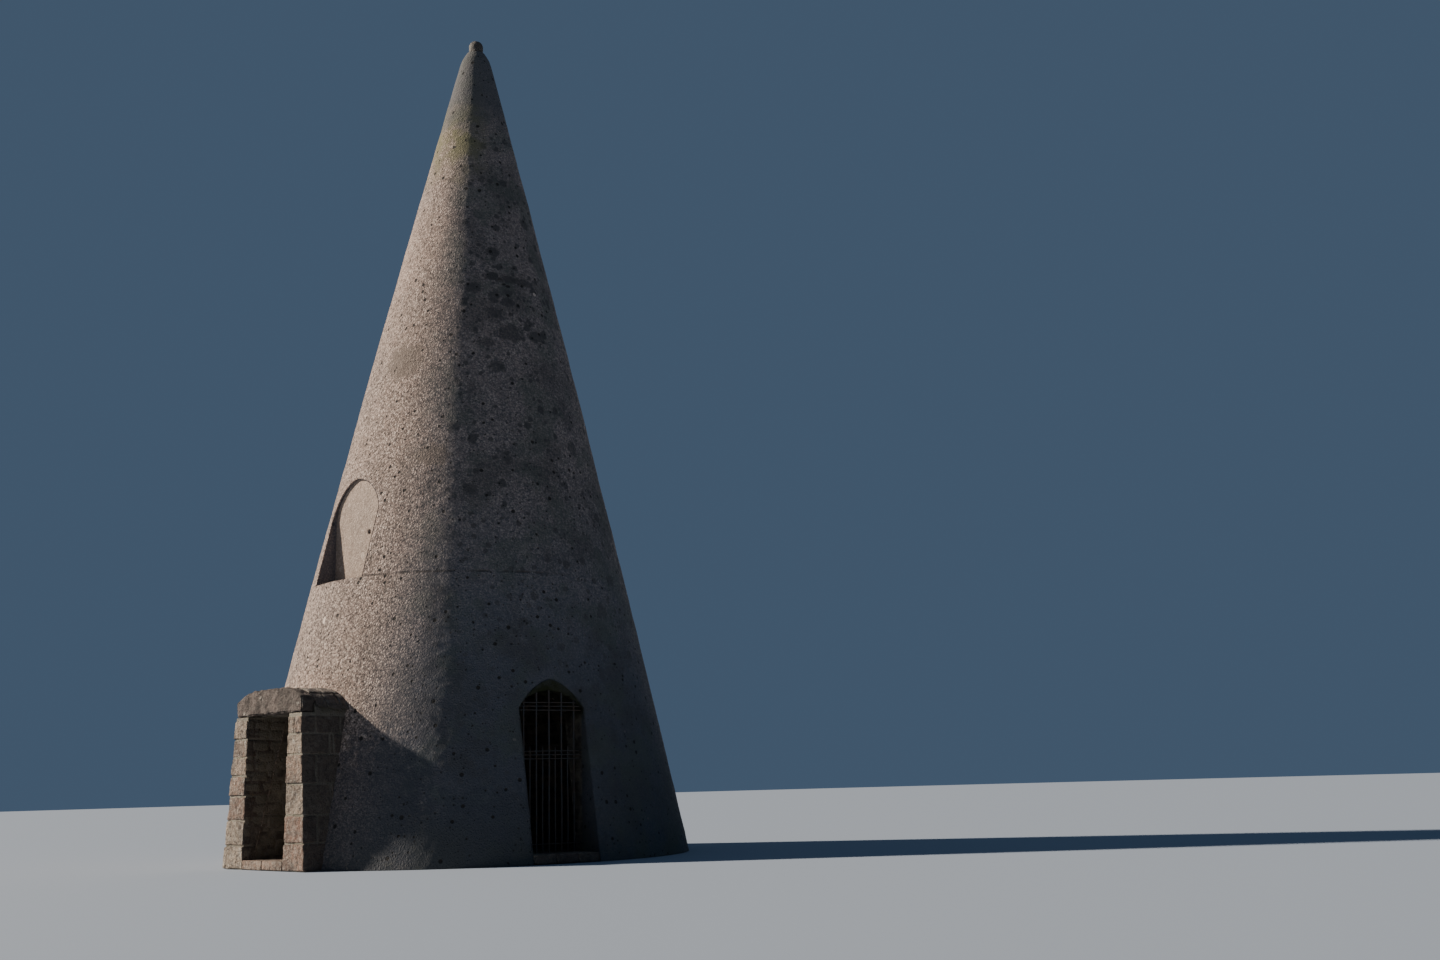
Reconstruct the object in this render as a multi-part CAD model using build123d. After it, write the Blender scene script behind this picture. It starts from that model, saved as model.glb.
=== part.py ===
from build123d import *
import math
import os
from typing import Callable

# A tall conical folly of rendered stone. It has a low stone porch over a doorway, a blind
# arched recess above the porch, a second arched opening closed by an iron grille, and a
# small stone cap. Millimetres, +Z up, the ground at z = 0, the tower's axis on Z.
# The porch and the recess face -Y. Azimuths are turned anticlockwise from +X.

# Outline of the tower
TOTAL_HEIGHT = 10670.0
CAP_HEIGHT = 190.0
NECK_RISE = 110.0
NECK_HEIGHT = TOTAL_HEIGHT - CAP_HEIGHT
SHOULDER_HEIGHT = NECK_HEIGHT - NECK_RISE
BASE_RADIUS = 2650.0
SHOULDER_RADIUS = 190.0
NECK_RADIUS = 125.0
ENTASIS = 43.0

# Wall thickness, from the ground to the top of the hollow, and the solid point above it
BASE_WALL = 550.0
TOP_WALL = 170.0
SOLID_POINT_HEIGHT = 1170.0
HOLLOW_TOP = SHOULDER_HEIGHT - SOLID_POINT_HEIGHT

# Levels where one lift of the wall stops and the next starts
DOOR_LIFT_TOP = 1600.0
SILL_LEVEL = 3175.0
RECESS_LIFT_TOP = 4560.0
UPPER_LIFT_TOP = 6850.0
HOLLOW_LEVELS = [0.0, DOOR_LIFT_TOP, SILL_LEVEL, RECESS_LIFT_TOP, UPPER_LIFT_TOP, HOLLOW_TOP]

# Azimuths of what is cut in the wall
PORCH_AZIMUTH = -90.0
RECESS_AZIMUTH = -91.0
GRILLE_AZIMUTH = -13.3

# Doorway behind the porch
DOORWAY_WIDTH = 850.0
DOORWAY_SPRING = 1635.0
DOORWAY_CROWN = 1740.0
DOORWAY_BULGE = 22.0

# Arched opening with the grille
GRILLE_OPENING_WIDTH = 780.0
GRILLE_SPRING = 1640.0
GRILLE_CROWN = 1830.0
GRILLE_BULGE = 45.0
SPLAY_CROWN = 2180.0
SPLAY_BULGE = 8.0
SPLAY_SETBACK = 19.0

# Blind recess above the porch
RECESS_WIDTH = 1000.0
RECESS_SPRING = 4000.0
RECESS_CROWN = 4420.0
RECESS_BULGE = 100.0
RECESS_CROWN_DEPTH = 33.0

# Porch
PORCH_PROJECTION = 70.0
PORCH_FRONT_PLANE = BASE_RADIUS + PORCH_PROJECTION
PORCH_HEAD_WIDTH = 1410.0
PORCH_BASE_WIDTH = 1720.0
JAMB_DEPTH = 200.0
LINTEL_END_HEIGHT = 165.0
LINTEL_RISE = 295.0
LINTEL_DEPTH = 180.0
LINTEL_FLAT_WIDTH = 560.0
ROOF_END_HEIGHT = 50.0
CAPPING_THICKNESS = 45.0
CAPPING_OVERHANG = 35.0
ROOF_EDGE_INSET = 8.0

# Ground floor
FLOOR_THICKNESS = 100.0

# Joint between a round face of the wall and what is built against it
MASONRY_JOINT = 0.3

# Grille
GRILLE_SETBACK = 119.0
BAR_WIDTH = 19.0
BAR_SPACING = 152.0
BAR_COUNT = 5
DOG_BAR_WIDTH = 15.0
DOG_BAR_TOP = 1235.0
DOG_BAR_POINT = 45.0
RAIL_THICKNESS = 12.0
RAIL_DEPTH = 38.0
RAIL_PITCH = 41.0
TOP_RAIL_LEVEL = 1618.0
MIDDLE_RAIL_LEVEL = 1093.0
BOTTOM_RAIL_LEVEL = 190.0
RAIL_COUNT = 3
RAIL_HOLE_CLEARANCE = 0.3

# Cap
CAP_RADIUS = 100.0
CAP_BATTER = 6.0
CAP_EDGE = 45.0

# Where each lift of the wall is divided into segments, by azimuth
LOWER_JOINTS = [PORCH_AZIMUTH, GRILLE_AZIMUTH, 50.0, 110.0, 180.0, 225.0, PORCH_AZIMUTH + 360.0]
LOWER_NAMES = ["right_front", "right", "back_right", "back_left", "left", "left_front"]
SECOND_JOINTS = [-123.0, -57.0, 31.0, 98.0, 167.0, 237.0]
SECOND_NAMES = ["over_doorway", "over_grille", "back_right", "back_left", "left"]
RECESS_JOINTS = [-130.0, -50.0, 30.0, 115.0, 230.0]
RECESS_NAMES = ["round_recess", "right", "back", "left"]
UPPER_JOINTS = [-45.0, 45.0, 135.0, 225.0, 315.0]
UPPER_NAMES = ["right", "back", "left", "front"]
SPIRE_JOINTS = [-90.0, 30.0, 150.0, 270.0]
SPIRE_NAMES = ["right", "back", "left"]


def radial_plane(azimuth: float) -> Plane:
    """Upright plane through the axis: local x runs level, local y up, local z outwards."""
    angle = math.radians(azimuth)
    outward = (math.cos(angle), math.sin(angle), 0.0)
    along = (-math.sin(angle), math.cos(angle), 0.0)
    return Plane(origin=(0, 0, 0), x_dir=along, z_dir=outward)


def face_radius(height: float) -> float:
    """Radius of the outer face: a straight taper that bellies out by the entasis halfway up."""
    share = height / SHOULDER_HEIGHT
    taper = BASE_RADIUS + (SHOULDER_RADIUS - BASE_RADIUS) * share
    return taper + 4 * ENTASIS * share * (1 - share)


def hollow_radius(height: float) -> float:
    """Radius of the hollow: the outer face less a wall that thins evenly up to the hollow's top."""
    wall = BASE_WALL + (TOP_WALL - BASE_WALL) * height / HOLLOW_TOP
    return face_radius(height) - wall


def floor_radius(height: float) -> float:
    """Radius of the ground floor, laid inside the hollow with a joint."""
    return hollow_radius(height) - MASONRY_JOINT


def seat_radius(height: float) -> float:
    """Radius that the porch is built against, a joint clear of the outer face."""
    return face_radius(height) + MASONRY_JOINT


# Upright planes set back from the outer face, at the springing line or the crown of their arch.
# The splay starts at the front of the long bars.
GRILLE_PLANE = face_radius(GRILLE_SPRING) - GRILLE_SETBACK
SPLAY_INNER_PLANE = GRILLE_PLANE + BAR_WIDTH / 2
SPLAY_OUTER_PLANE = face_radius(GRILLE_SPRING) - SPLAY_SETBACK
RECESS_BACK_PLANE = face_radius(RECESS_CROWN) - RECESS_CROWN_DEPTH


def wall_line(radius_at: Callable[[float], float], low: float, high: float) -> Edge:
    """Line of one wall face between two heights. Each lift has a straight batter of its own."""
    return Line((radius_at(low), low), (radius_at(high), high))


def wall_section(low: float, high: float) -> Sketch:
    """Half section of the hollow wall between two heights."""
    top = Line((hollow_radius(high), high), (face_radius(high), high))
    base = Line((hollow_radius(low), low), (face_radius(low), low))
    return make_face(wall_line(face_radius, low, high) + top + wall_line(hollow_radius, low, high) + base)


def filled_section(radius_at: Callable[[float], float], low: float, high: float) -> Sketch:
    """Half section filled from the axis out to a wall face, between two heights."""
    rest = Polyline((radius_at(high), high), (0, high), (0, low), (radius_at(low), low))
    return make_face(wall_line(radius_at, low, high) + rest)


def stacked(radius_at: Callable[[float], float], levels: list) -> Part:
    """Whole body of revolution inside a wall face, one lift on another."""
    lifts = [turned(filled_section(radius_at, low, high), 0.0, 360.0) for low, high in zip(levels[:-1], levels[1:])]
    return Part() + lifts


def turned(section: Sketch, start: float, end: float) -> Part:
    """Solid of revolution between two azimuths."""
    swept = revolve(Plane.XZ * section, axis=Axis.Z, revolution_arc=end - start)
    return Rot(0, 0, start) * swept


def arched_face(width: float, foot: float, spring: float, crown: float, bulge: float) -> Sketch:
    """Upright outline of an opening whose head is two shallow arcs that meet at the crown."""
    half = width / 2
    sides = Polyline((-half, spring), (-half, foot), (half, foot), (half, spring))
    right_arc = SagittaArc((half, spring), (0, crown), -bulge)
    left_arc = SagittaArc((0, crown), (-half, spring), -bulge)
    return make_face(sides + right_arc + left_arc)


def cut_through(azimuth: float, outline: Sketch, inner: float, outer: float) -> Part:
    """Straight cut along one azimuth, from an inner to an outer upright plane."""
    return radial_plane(azimuth) * Pos(0, 0, inner) * extrude(outline, outer - inner)


def head_splay() -> Part:
    """Flared head of the grille opening, which opens upwards to the outer face."""
    inner = Pos(0, 0, SPLAY_INNER_PLANE) * splay_face(GRILLE_CROWN, GRILLE_BULGE)
    outer = Pos(0, 0, SPLAY_OUTER_PLANE) * splay_face(SPLAY_CROWN, SPLAY_BULGE)
    return radial_plane(GRILLE_AZIMUTH) * loft([inner, outer], ruled=True)


def splay_face(crown: float, bulge: float) -> Sketch:
    """Head of an arch above its springing line."""
    half = GRILLE_OPENING_WIDTH / 2
    base = Line((-half, GRILLE_SPRING), (half, GRILLE_SPRING))
    right_arc = SagittaArc((half, GRILLE_SPRING), (0, crown), -bulge)
    left_arc = SagittaArc((0, crown), (-half, GRILLE_SPRING), -bulge)
    return make_face(base + right_arc + left_arc)


# Cutting bodies shared by the pieces
REACH = BASE_RADIUS * 1.3
tower_body = stacked(face_radius, HOLLOW_LEVELS)
hollow_body = stacked(hollow_radius, HOLLOW_LEVELS)
porch_seat = stacked(seat_radius, HOLLOW_LEVELS)

doorway_outline = arched_face(DOORWAY_WIDTH, 0.0, DOORWAY_SPRING, DOORWAY_CROWN, DOORWAY_BULGE)
doorway_cut = cut_through(PORCH_AZIMUTH, doorway_outline, 0.0, REACH)

grille_outline = arched_face(GRILLE_OPENING_WIDTH, 0.0, GRILLE_SPRING, GRILLE_CROWN, GRILLE_BULGE)
grille_cut = cut_through(GRILLE_AZIMUTH, grille_outline, 0.0, REACH) + head_splay()

recess_outline = arched_face(RECESS_WIDTH, SILL_LEVEL, RECESS_SPRING, RECESS_CROWN, RECESS_BULGE)
recess_cut = cut_through(RECESS_AZIMUTH, recess_outline, 0.0, REACH)

pieces = {}


def add_lift(prefix: str, low: float, high: float, joints: list, names: list, cuts: list) -> None:
    """Build one lift of the wall as segments between the given azimuths."""
    section = wall_section(low, high)
    for name, start, end in zip(names, joints[:-1], joints[1:]):
        segment = turned(section, start, end)
        for cut in cuts:
            segment = segment - cut
        pieces[f"{prefix}_{name}"] = segment


# Wall of the tower, from the ground up
add_lift("lower_wall", 0.0, DOOR_LIFT_TOP, LOWER_JOINTS, LOWER_NAMES, [doorway_cut, grille_cut])
add_lift("second_wall", DOOR_LIFT_TOP, SILL_LEVEL, SECOND_JOINTS, SECOND_NAMES, [doorway_cut, grille_cut])
add_lift("recess_wall", SILL_LEVEL, RECESS_LIFT_TOP, RECESS_JOINTS, RECESS_NAMES, [recess_cut])
add_lift("upper_wall", RECESS_LIFT_TOP, UPPER_LIFT_TOP, UPPER_JOINTS, UPPER_NAMES, [])
add_lift("spire_wall", UPPER_LIFT_TOP, HOLLOW_TOP, SPIRE_JOINTS, SPIRE_NAMES, [])
point_section = filled_section(face_radius, HOLLOW_TOP, SHOULDER_HEIGHT)
neck_section = make_face(
    Polyline(
        (0, SHOULDER_HEIGHT),
        (SHOULDER_RADIUS, SHOULDER_HEIGHT),
        (NECK_RADIUS, NECK_HEIGHT),
        (0, NECK_HEIGHT),
        close=True,
    )
)
pieces["spire_top"] = turned(point_section + neck_section, 0.0, 360.0)

# Thin wall that closes the recess
recess_fill = cut_through(RECESS_AZIMUTH, recess_outline, 0.0, RECESS_BACK_PLANE)
pieces["recess_panel"] = (recess_fill - hollow_body) & tower_body

# Cap, a short stub whose top is worn round
cap_section = Polyline(
    (0, NECK_HEIGHT),
    (CAP_RADIUS, NECK_HEIGHT),
    (CAP_RADIUS - CAP_BATTER, TOTAL_HEIGHT - CAP_EDGE),
    (CAP_RADIUS - CAP_EDGE, TOTAL_HEIGHT),
    (0, TOTAL_HEIGHT),
    close=True,
)
pieces["cap_stone"] = turned(make_face(cap_section), 0.0, 360.0)

# Ground floor inside, and a threshold in each opening
floor_body = stacked(floor_radius, [0.0, DOOR_LIFT_TOP])
floor_slab = Pos(0, 0, FLOOR_THICKNESS / 2) * Box(2 * REACH, 2 * REACH, FLOOR_THICKNESS)
pieces["ground_floor"] = floor_body & floor_slab
grille_sill_outline = Pos(0, FLOOR_THICKNESS / 2) * Rectangle(GRILLE_OPENING_WIDTH, FLOOR_THICKNESS)
grille_sill = cut_through(GRILLE_AZIMUTH, grille_sill_outline, 0.0, REACH)
pieces["grille_threshold"] = (grille_sill - hollow_body) & tower_body
door_sill_outline = Pos(0, FLOOR_THICKNESS / 2) * Rectangle(DOORWAY_WIDTH, FLOOR_THICKNESS)
door_sill = cut_through(PORCH_AZIMUTH, door_sill_outline, 0.0, PORCH_FRONT_PLANE)
pieces["doorway_threshold"] = door_sill - hollow_body


def porch_side_outline(side: int) -> Sketch:
    """Battered upright outline of the masonry on one side of the porch doorway."""
    inner = DOORWAY_WIDTH / 2
    outline = Polyline(
        (side * inner, 0),
        (side * PORCH_BASE_WIDTH / 2, 0),
        (side * PORCH_HEAD_WIDTH / 2, DOORWAY_SPRING),
        (side * inner, DOORWAY_SPRING),
        close=True,
    )
    return make_face(outline)


def porch_head_outline(inset: float, end_height: float, rise: float) -> Sketch:
    """Outline of the porch head: upright ends, rounded shoulders and a nearly flat top."""
    half = PORCH_HEAD_WIDTH / 2 - inset
    flat = LINTEL_FLAT_WIDTH / 2
    base = DOORWAY_SPRING
    end = base + end_height
    top = base + rise
    ends = Polyline((-half, end), (-half, base), (half, base), (half, end))
    right_shoulder = TangentArc((flat, top), (half, end), tangent=(1, 0))
    left_shoulder = TangentArc((-flat, top), (-half, end), tangent=(-1, 0))
    flat_top = Line((-flat, top), (flat, top))
    return make_face(ends + right_shoulder + flat_top + left_shoulder)


# Porch, from the front plane back to the tower's face
jamb_back = PORCH_FRONT_PLANE - JAMB_DEPTH
lintel_back = PORCH_FRONT_PLANE - LINTEL_DEPTH
core_plane = BASE_RADIUS / 2
for name, side in (("left", -1), ("right", 1)):
    outline = porch_side_outline(side)
    pieces[f"porch_jamb_{name}"] = cut_through(PORCH_AZIMUTH, outline, jamb_back, PORCH_FRONT_PLANE) - porch_seat
    pieces[f"porch_side_wall_{name}"] = cut_through(PORCH_AZIMUTH, outline, core_plane, jamb_back) - porch_seat

head_outline = porch_head_outline(0.0, LINTEL_END_HEIGHT, LINTEL_RISE)
pieces["porch_lintel"] = cut_through(PORCH_AZIMUTH, head_outline, lintel_back, PORCH_FRONT_PLANE)

# The roof behind the lintel falls away at its sides, and thin capping slabs cover it
roof_rise = LINTEL_RISE - CAPPING_THICKNESS
roof_end = ROOF_END_HEIGHT - CAPPING_THICKNESS
roof_outline = porch_head_outline(ROOF_EDGE_INSET, roof_end, roof_rise)
pieces["porch_roof"] = cut_through(PORCH_AZIMUTH, roof_outline, core_plane, lintel_back) - porch_seat

capping_outline = porch_head_outline(-CAPPING_OVERHANG, ROOF_END_HEIGHT, LINTEL_RISE) - roof_outline
pieces["porch_capping"] = cut_through(PORCH_AZIMUTH, capping_outline, core_plane, lintel_back) - porch_seat

# Grille in the second opening
bar_offsets = [(i - (BAR_COUNT - 1) / 2) * BAR_SPACING for i in range(BAR_COUNT)]
dog_offsets = [(a + b) / 2 for a, b in zip(bar_offsets[:-1], bar_offsets[1:])]
grille_frame = radial_plane(GRILLE_AZIMUTH) * Pos(0, 0, GRILLE_PLANE)
opening_body = cut_through(GRILLE_AZIMUTH, grille_outline, 0.0, REACH)


def upright(offset: float, width: float, top: float) -> Part:
    """Square bar that stands on the threshold."""
    length = top - FLOOR_THICKNESS
    return grille_frame * Pos(offset, FLOOR_THICKNESS + length / 2, 0) * Box(width, length, width)


def dog_bar(offset: float) -> Part:
    """Short square bar drawn out to a point at the top."""
    shaft_top = DOG_BAR_TOP - DOG_BAR_POINT
    foot = Plane(origin=(offset, shaft_top, 0), x_dir=(1, 0, 0), z_dir=(0, 1, 0))
    tip = Plane(origin=(offset, DOG_BAR_TOP, 0), x_dir=(1, 0, 0), z_dir=(0, 1, 0))
    tip_width = DOG_BAR_WIDTH / 5
    drawn_foot = foot * Rectangle(DOG_BAR_WIDTH, DOG_BAR_WIDTH)
    drawn_tip = tip * Rectangle(tip_width, tip_width)
    point = loft([drawn_foot, drawn_tip], ruled=True)
    return upright(offset, DOG_BAR_WIDTH, shaft_top) + grille_frame * point


def rail(level: float, holes: list) -> Part:
    """Flat bar across the opening, pierced for each upright that passes through it."""
    bar = Pos(0, level, 0) * Box(GRILLE_OPENING_WIDTH, RAIL_THICKNESS, RAIL_DEPTH)
    for offset, width in holes:
        hole = width + 2 * RAIL_HOLE_CLEARANCE
        bar = bar - Pos(offset, level, 0) * Box(hole, 2 * RAIL_THICKNESS, hole)
    return (grille_frame * bar) & opening_body


def rail_group(first_level: float, count: int, holes: list) -> Part:
    """Rails one above the other at the rail pitch."""
    rails = [rail(first_level + i * RAIL_PITCH, holes) for i in range(count)]
    return Part() + rails


main_holes = [(offset, BAR_WIDTH) for offset in bar_offsets]
dog_holes = [(offset, DOG_BAR_WIDTH) for offset in dog_offsets]
long_bars = [upright(offset, BAR_WIDTH, GRILLE_CROWN) & opening_body for offset in bar_offsets]
pieces["grille_bars"] = Part() + long_bars
pieces["grille_dog_bars"] = Part() + [dog_bar(offset) for offset in dog_offsets]
pieces["grille_top_rails"] = rail_group(TOP_RAIL_LEVEL, RAIL_COUNT, main_holes)
pieces["grille_middle_rails"] = rail_group(MIDDLE_RAIL_LEVEL, RAIL_COUNT, main_holes + dog_holes)
pieces["grille_bottom_rail"] = rail_group(BOTTOM_RAIL_LEVEL, 1, main_holes + dog_holes)

os.makedirs("parts", exist_ok=True)
for name, piece in pieces.items():
    export_step(piece, f"parts/{name}.step")
    print(name, len(piece.solids()), round(piece.volume / 1e9, 4))
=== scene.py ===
"""Looks of a tall conical stone folly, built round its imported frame.

A hollow cone of rough-cast masonry carries a low stone porch, a blind arched recess above it,
an arched opening with an iron grille, and a small stone cap. Metres, +Z up, the ground at
z = 0, the tower's axis on Z. The porch and the recess face -Y. Azimuths are in degrees and
turn anticlockwise from +X.
"""
import logging
import math
from dataclasses import dataclass
from enum import Enum
from functools import partialmethod
from itertools import pairwise
from typing import Callable, NamedTuple, Optional, Sequence, Union

import bmesh
import bpy
import numpy as np
from mathutils import Matrix, Vector


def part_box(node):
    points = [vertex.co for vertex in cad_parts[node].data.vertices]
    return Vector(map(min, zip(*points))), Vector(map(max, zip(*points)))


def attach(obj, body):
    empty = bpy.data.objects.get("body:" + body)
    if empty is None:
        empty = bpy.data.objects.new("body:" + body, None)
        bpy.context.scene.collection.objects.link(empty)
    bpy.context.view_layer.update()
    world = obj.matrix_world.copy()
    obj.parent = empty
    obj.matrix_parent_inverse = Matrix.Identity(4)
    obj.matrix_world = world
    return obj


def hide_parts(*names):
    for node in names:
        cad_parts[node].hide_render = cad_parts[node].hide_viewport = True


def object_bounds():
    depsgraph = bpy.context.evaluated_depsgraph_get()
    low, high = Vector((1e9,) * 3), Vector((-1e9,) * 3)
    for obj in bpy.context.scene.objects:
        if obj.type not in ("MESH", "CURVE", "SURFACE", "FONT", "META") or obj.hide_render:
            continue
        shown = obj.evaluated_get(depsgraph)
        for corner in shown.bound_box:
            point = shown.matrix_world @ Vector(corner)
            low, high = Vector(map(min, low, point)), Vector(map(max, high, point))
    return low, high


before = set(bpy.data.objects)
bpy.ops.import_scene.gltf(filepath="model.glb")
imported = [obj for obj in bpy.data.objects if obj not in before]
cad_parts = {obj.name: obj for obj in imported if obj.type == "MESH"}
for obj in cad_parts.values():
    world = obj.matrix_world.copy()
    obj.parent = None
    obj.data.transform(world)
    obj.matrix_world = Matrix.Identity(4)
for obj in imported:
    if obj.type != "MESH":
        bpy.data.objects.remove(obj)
CAD_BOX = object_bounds()

LOG = logging.getLogger("folly")
Array = np.ndarray
Colour = tuple[float, float, float]
Span = tuple[float, float]
Series = tuple[float, ...]
Piece = bpy.types.Object
Material = bpy.types.Material
Tree = bpy.types.NodeTree
Node = bpy.types.Node
Outputs = bpy.types.bpy_prop_collection
Socket = bpy.types.NodeSocket
Value = Union[float, Sequence[float], Socket]
Place = Callable[[Array], Array]

SEED_FACTOR = 2654435761
CELL_FACTORS = np.array((73856093, 19349663, 83492791), np.uint32)
STIRS = ((15, 739982445), (12, 695872825))
WORD = 2**32
RUBBLE_MARKS = ("lining", "tone", "joint")
WALL_MARKS = (*RUBBLE_MARKS, "moss", "painted_reveal_shade")
TINY = 1e-9


def hashed(cells: Array, seed: int) -> Array:
    """Random number from 0 to 1 for each whole-numbered cell.

    The cell's three numbers and the seed are each multiplied by a large odd number and mixed
    with exclusive or, shifted and multiplied again, and scaled to the unit range.

    Args:
        cells: Whole numbers, three along the last axis.
        seed: Chooses another set of random numbers.

    Returns:
        One number for each cell.
    """
    parts = cells.astype(np.int64).astype(np.uint32) * CELL_FACTORS
    mixed = np.bitwise_xor.reduce(parts, axis=-1) ^ np.uint32(seed * SEED_FACTOR % WORD)
    for shift, factor in STIRS:
        mixed = (mixed ^ (mixed >> np.uint32(shift))) * np.uint32(factor)
    return (mixed ^ (mixed >> np.uint32(STIRS[0][0]))) / WORD


def noise(points: Array, size: float, octaves: int = 1, seed: int = 0) -> Array:
    """Smooth random field, from about -1 to 1.

    Each octave blends the random numbers of the eight corners of the cell round a point, with
    weights that rise along six x to the fifth less fifteen x to the fourth plus ten x cubed.
    Each octave is half as large as the one before it and half as strong.

    Args:
        points: Places, three coordinates along the last axis.
        size: Width of the largest features.
        octaves: How many sizes are added up.
        seed: Chooses another field.

    Returns:
        One value for each point.
    """
    total = np.zeros(points.shape[:-1])
    for octave in range(octaves):
        scaled = points * (2.0**octave / size)
        base = np.floor(scaled)
        share = scaled - base
        share = share**3 * (share * (share * 6.0 - 15.0) + 10.0)
        for corner in range(8):
            pick = np.array([corner & 1, (corner >> 1) & 1, corner >> 2])
            weight = np.prod(np.where(pick == 1, share, 1.0 - share), axis=-1)
            total += weight * (2.0 * hashed(base + pick, seed + octave) - 1.0) * 0.5**octave
    return total


def smooth_step(values: Array, low: float, high: float) -> Array:
    """Rises from 0 at low to 1 at high, along three x squared less two x cubed."""
    share = np.clip((values - low) / (high - low), 0.0, 1.0)
    return share * share * (3.0 - 2.0 * share)


def bell(values: Array, width: float) -> Array:
    """Bell curve: e to the minus square of the values over the width."""
    return np.exp(-((values / width) ** 2))


def unit_vectors(vectors: Array) -> Array:
    """Vectors along the last axis brought to a length of 1."""
    return vectors / np.maximum(np.linalg.norm(vectors, axis=-1, keepdims=True), TINY)


def heading(azimuth: float) -> Colour:
    """Level unit vector towards an azimuth."""
    turn = math.radians(azimuth)
    return math.cos(turn), math.sin(turn), 0.0


def full_turn(count: int) -> Array:
    """Evenly spaced angles round a full turn, each one once."""
    return np.linspace(0.0, 2.0 * math.pi, count + 1)[:-1]


def about_axis(radius: Array, angle: Array, height: Array) -> Array:
    """Places at a radius and an angle round the tower's axis, at a height."""
    return np.stack([radius * np.cos(angle), radius * np.sin(angle), height], axis=-1)


def flat_places(first: Array, second: Array) -> Array:
    """Places of a pattern that lies in one plane."""
    return np.stack([first, second, np.zeros_like(first)], axis=-1)


def graded(length: float, step: float, fine: Sequence[float], end_share: float = 0.35) -> Array:
    """Places from 0 to a length: fine ones near both ends, even ones between.

    Args:
        length: Whole length.
        step: About the distance between the even places.
        fine: Distances of the fine places from each end, starting with 0.
        end_share: Share of the length within which fine places are kept.

    Returns:
        The places in order.
    """
    ends = np.array([f for f in fine if f < end_share * length])
    inner = length - 2.0 * ends[-1]
    count = max(2, int(round(inner / step)))
    middle = ends[-1] + inner * np.arange(1, count) / count
    return np.concatenate([ends, middle, length - ends[::-1]])


def add_object(name: str, data: bpy.types.ID) -> Piece:
    """Put an object with the given data into the scene, at the origin."""
    made = bpy.data.objects.new(name, data)
    bpy.context.scene.collection.objects.link(made)
    return made


class Shell:
    """Points, faces and surface marks of one mesh, gathered patch by patch."""

    def __init__(self, marks: Sequence[str] = ()) -> None:
        """Start an empty mesh with the given marks, one number a point each."""
        self.points: list[Array] = []
        self.quads: list[Array] = []
        self.polygons: list[list[int]] = []
        self.marks: dict[str, list[Array]] = {name: [] for name in marks}
        self.count = 0

    def add(self, points: Array, **marks: Union[Array, float]) -> Array:
        """Add points.

        Args:
            points: Places, three coordinates along the last axis.
            marks: Value of each mark for all or each of them; 0 where not given.

        Returns:
            The points' numbers, in the shape of the places.
        """
        shape = points.shape[:-1]
        self.points.append(points.reshape(-1, 3))
        for name, rows in self.marks.items():
            rows.append(np.broadcast_to(marks.get(name, 0.0), shape).reshape(-1))
        size = int(np.prod(shape))
        index = np.arange(self.count, self.count + size).reshape(shape)
        self.count += size
        return index

    def skin(self, index: Array) -> None:
        """Join neighbours in a grid of point numbers with four-sided faces."""
        corners = (index[:-1, :-1], index[:-1, 1:], index[1:, 1:], index[1:, :-1])
        self.quads.append(np.stack([corner.reshape(-1) for corner in corners], axis=1))

    def wrap(self, index: Array) -> Array:
        """Skin a stack of rings, each closed on itself, and give it with its first column repeated."""
        closed = np.concatenate([index, index[:, :1]], axis=1)
        self.skin(closed)
        return closed

    def fan(self, ring: Array, tip: int) -> None:
        """Join a closed ring of point numbers to one tip with triangles."""
        last = np.full(len(ring), tip)
        self.quads.append(np.stack([ring, np.roll(ring, -1), last, last], axis=1))

    def close_round(self, index: Array, first: float, last: float, **marks: float) -> None:
        """Close a stack of rings round the tower's axis.

        Args:
            index: Point numbers of the rings.
            first: Height of the tip that closes the first ring.
            last: Height of the tip that closes the last ring.
            marks: Values of the marks at both tips.
        """
        tips = self.add(np.array([[0.0, 0.0, first], [0.0, 0.0, last]]), **marks)
        self.wrap(index)
        self.fan(index[0][::-1], int(tips[0]))
        self.fan(index[-1], int(tips[1]))

    def close_slab(self, face: Array, rear: Array) -> None:
        """Close the body between two grids of point numbers with the same shape."""
        self.skin(face)
        self.skin(rear[:, ::-1])
        for edge in (np.s_[0, :], np.s_[-1, :], np.s_[:, 0], np.s_[:, -1]):
            self.skin(np.stack([face[edge], rear[edge]]))

    def finish(self, name: str, sharp: float = 55.0) -> Piece:
        """Make the mesh and its object.

        Points that no face uses are dropped, faces that have shrunk to a line are left out, and
        all faces are turned outwards.

        Args:
            name: Name of the piece.
            sharp: Angle in degrees past which an edge is shaded as an edge.

        Returns:
            The new object, at the origin.
        """
        quads = np.concatenate(self.quads)
        fresh = quads != np.roll(quads, 1, axis=1)
        sides = fresh.sum(axis=1)
        faces = quads[sides == 4].tolist()
        faces += [quad[keep].tolist() for quad, keep in zip(quads[sides == 3], fresh[sides == 3])]
        faces += self.polygons
        used = np.unique(np.concatenate(faces))
        renumber = np.full(self.count, -1)
        renumber[used] = np.arange(len(used))
        faces = [renumber[face].tolist() for face in faces]
        mesh = bpy.data.meshes.new(name)
        mesh.from_pydata(np.concatenate(self.points)[used].tolist(), [], faces)
        outwards = bmesh.new()
        outwards.from_mesh(mesh)
        bmesh.ops.recalc_face_normals(outwards, faces=outwards.faces)
        outwards.to_mesh(mesh)
        outwards.free()
        for mark, rows in self.marks.items():
            layer = mesh.attributes.new(mark, "FLOAT", "POINT")
            layer.data.foreach_set("value", np.concatenate(rows)[used].astype(np.float32))
        mesh.shade_smooth()
        mesh.set_sharp_from_angle(angle=math.radians(sharp))
        return add_object(name, mesh)


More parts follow.
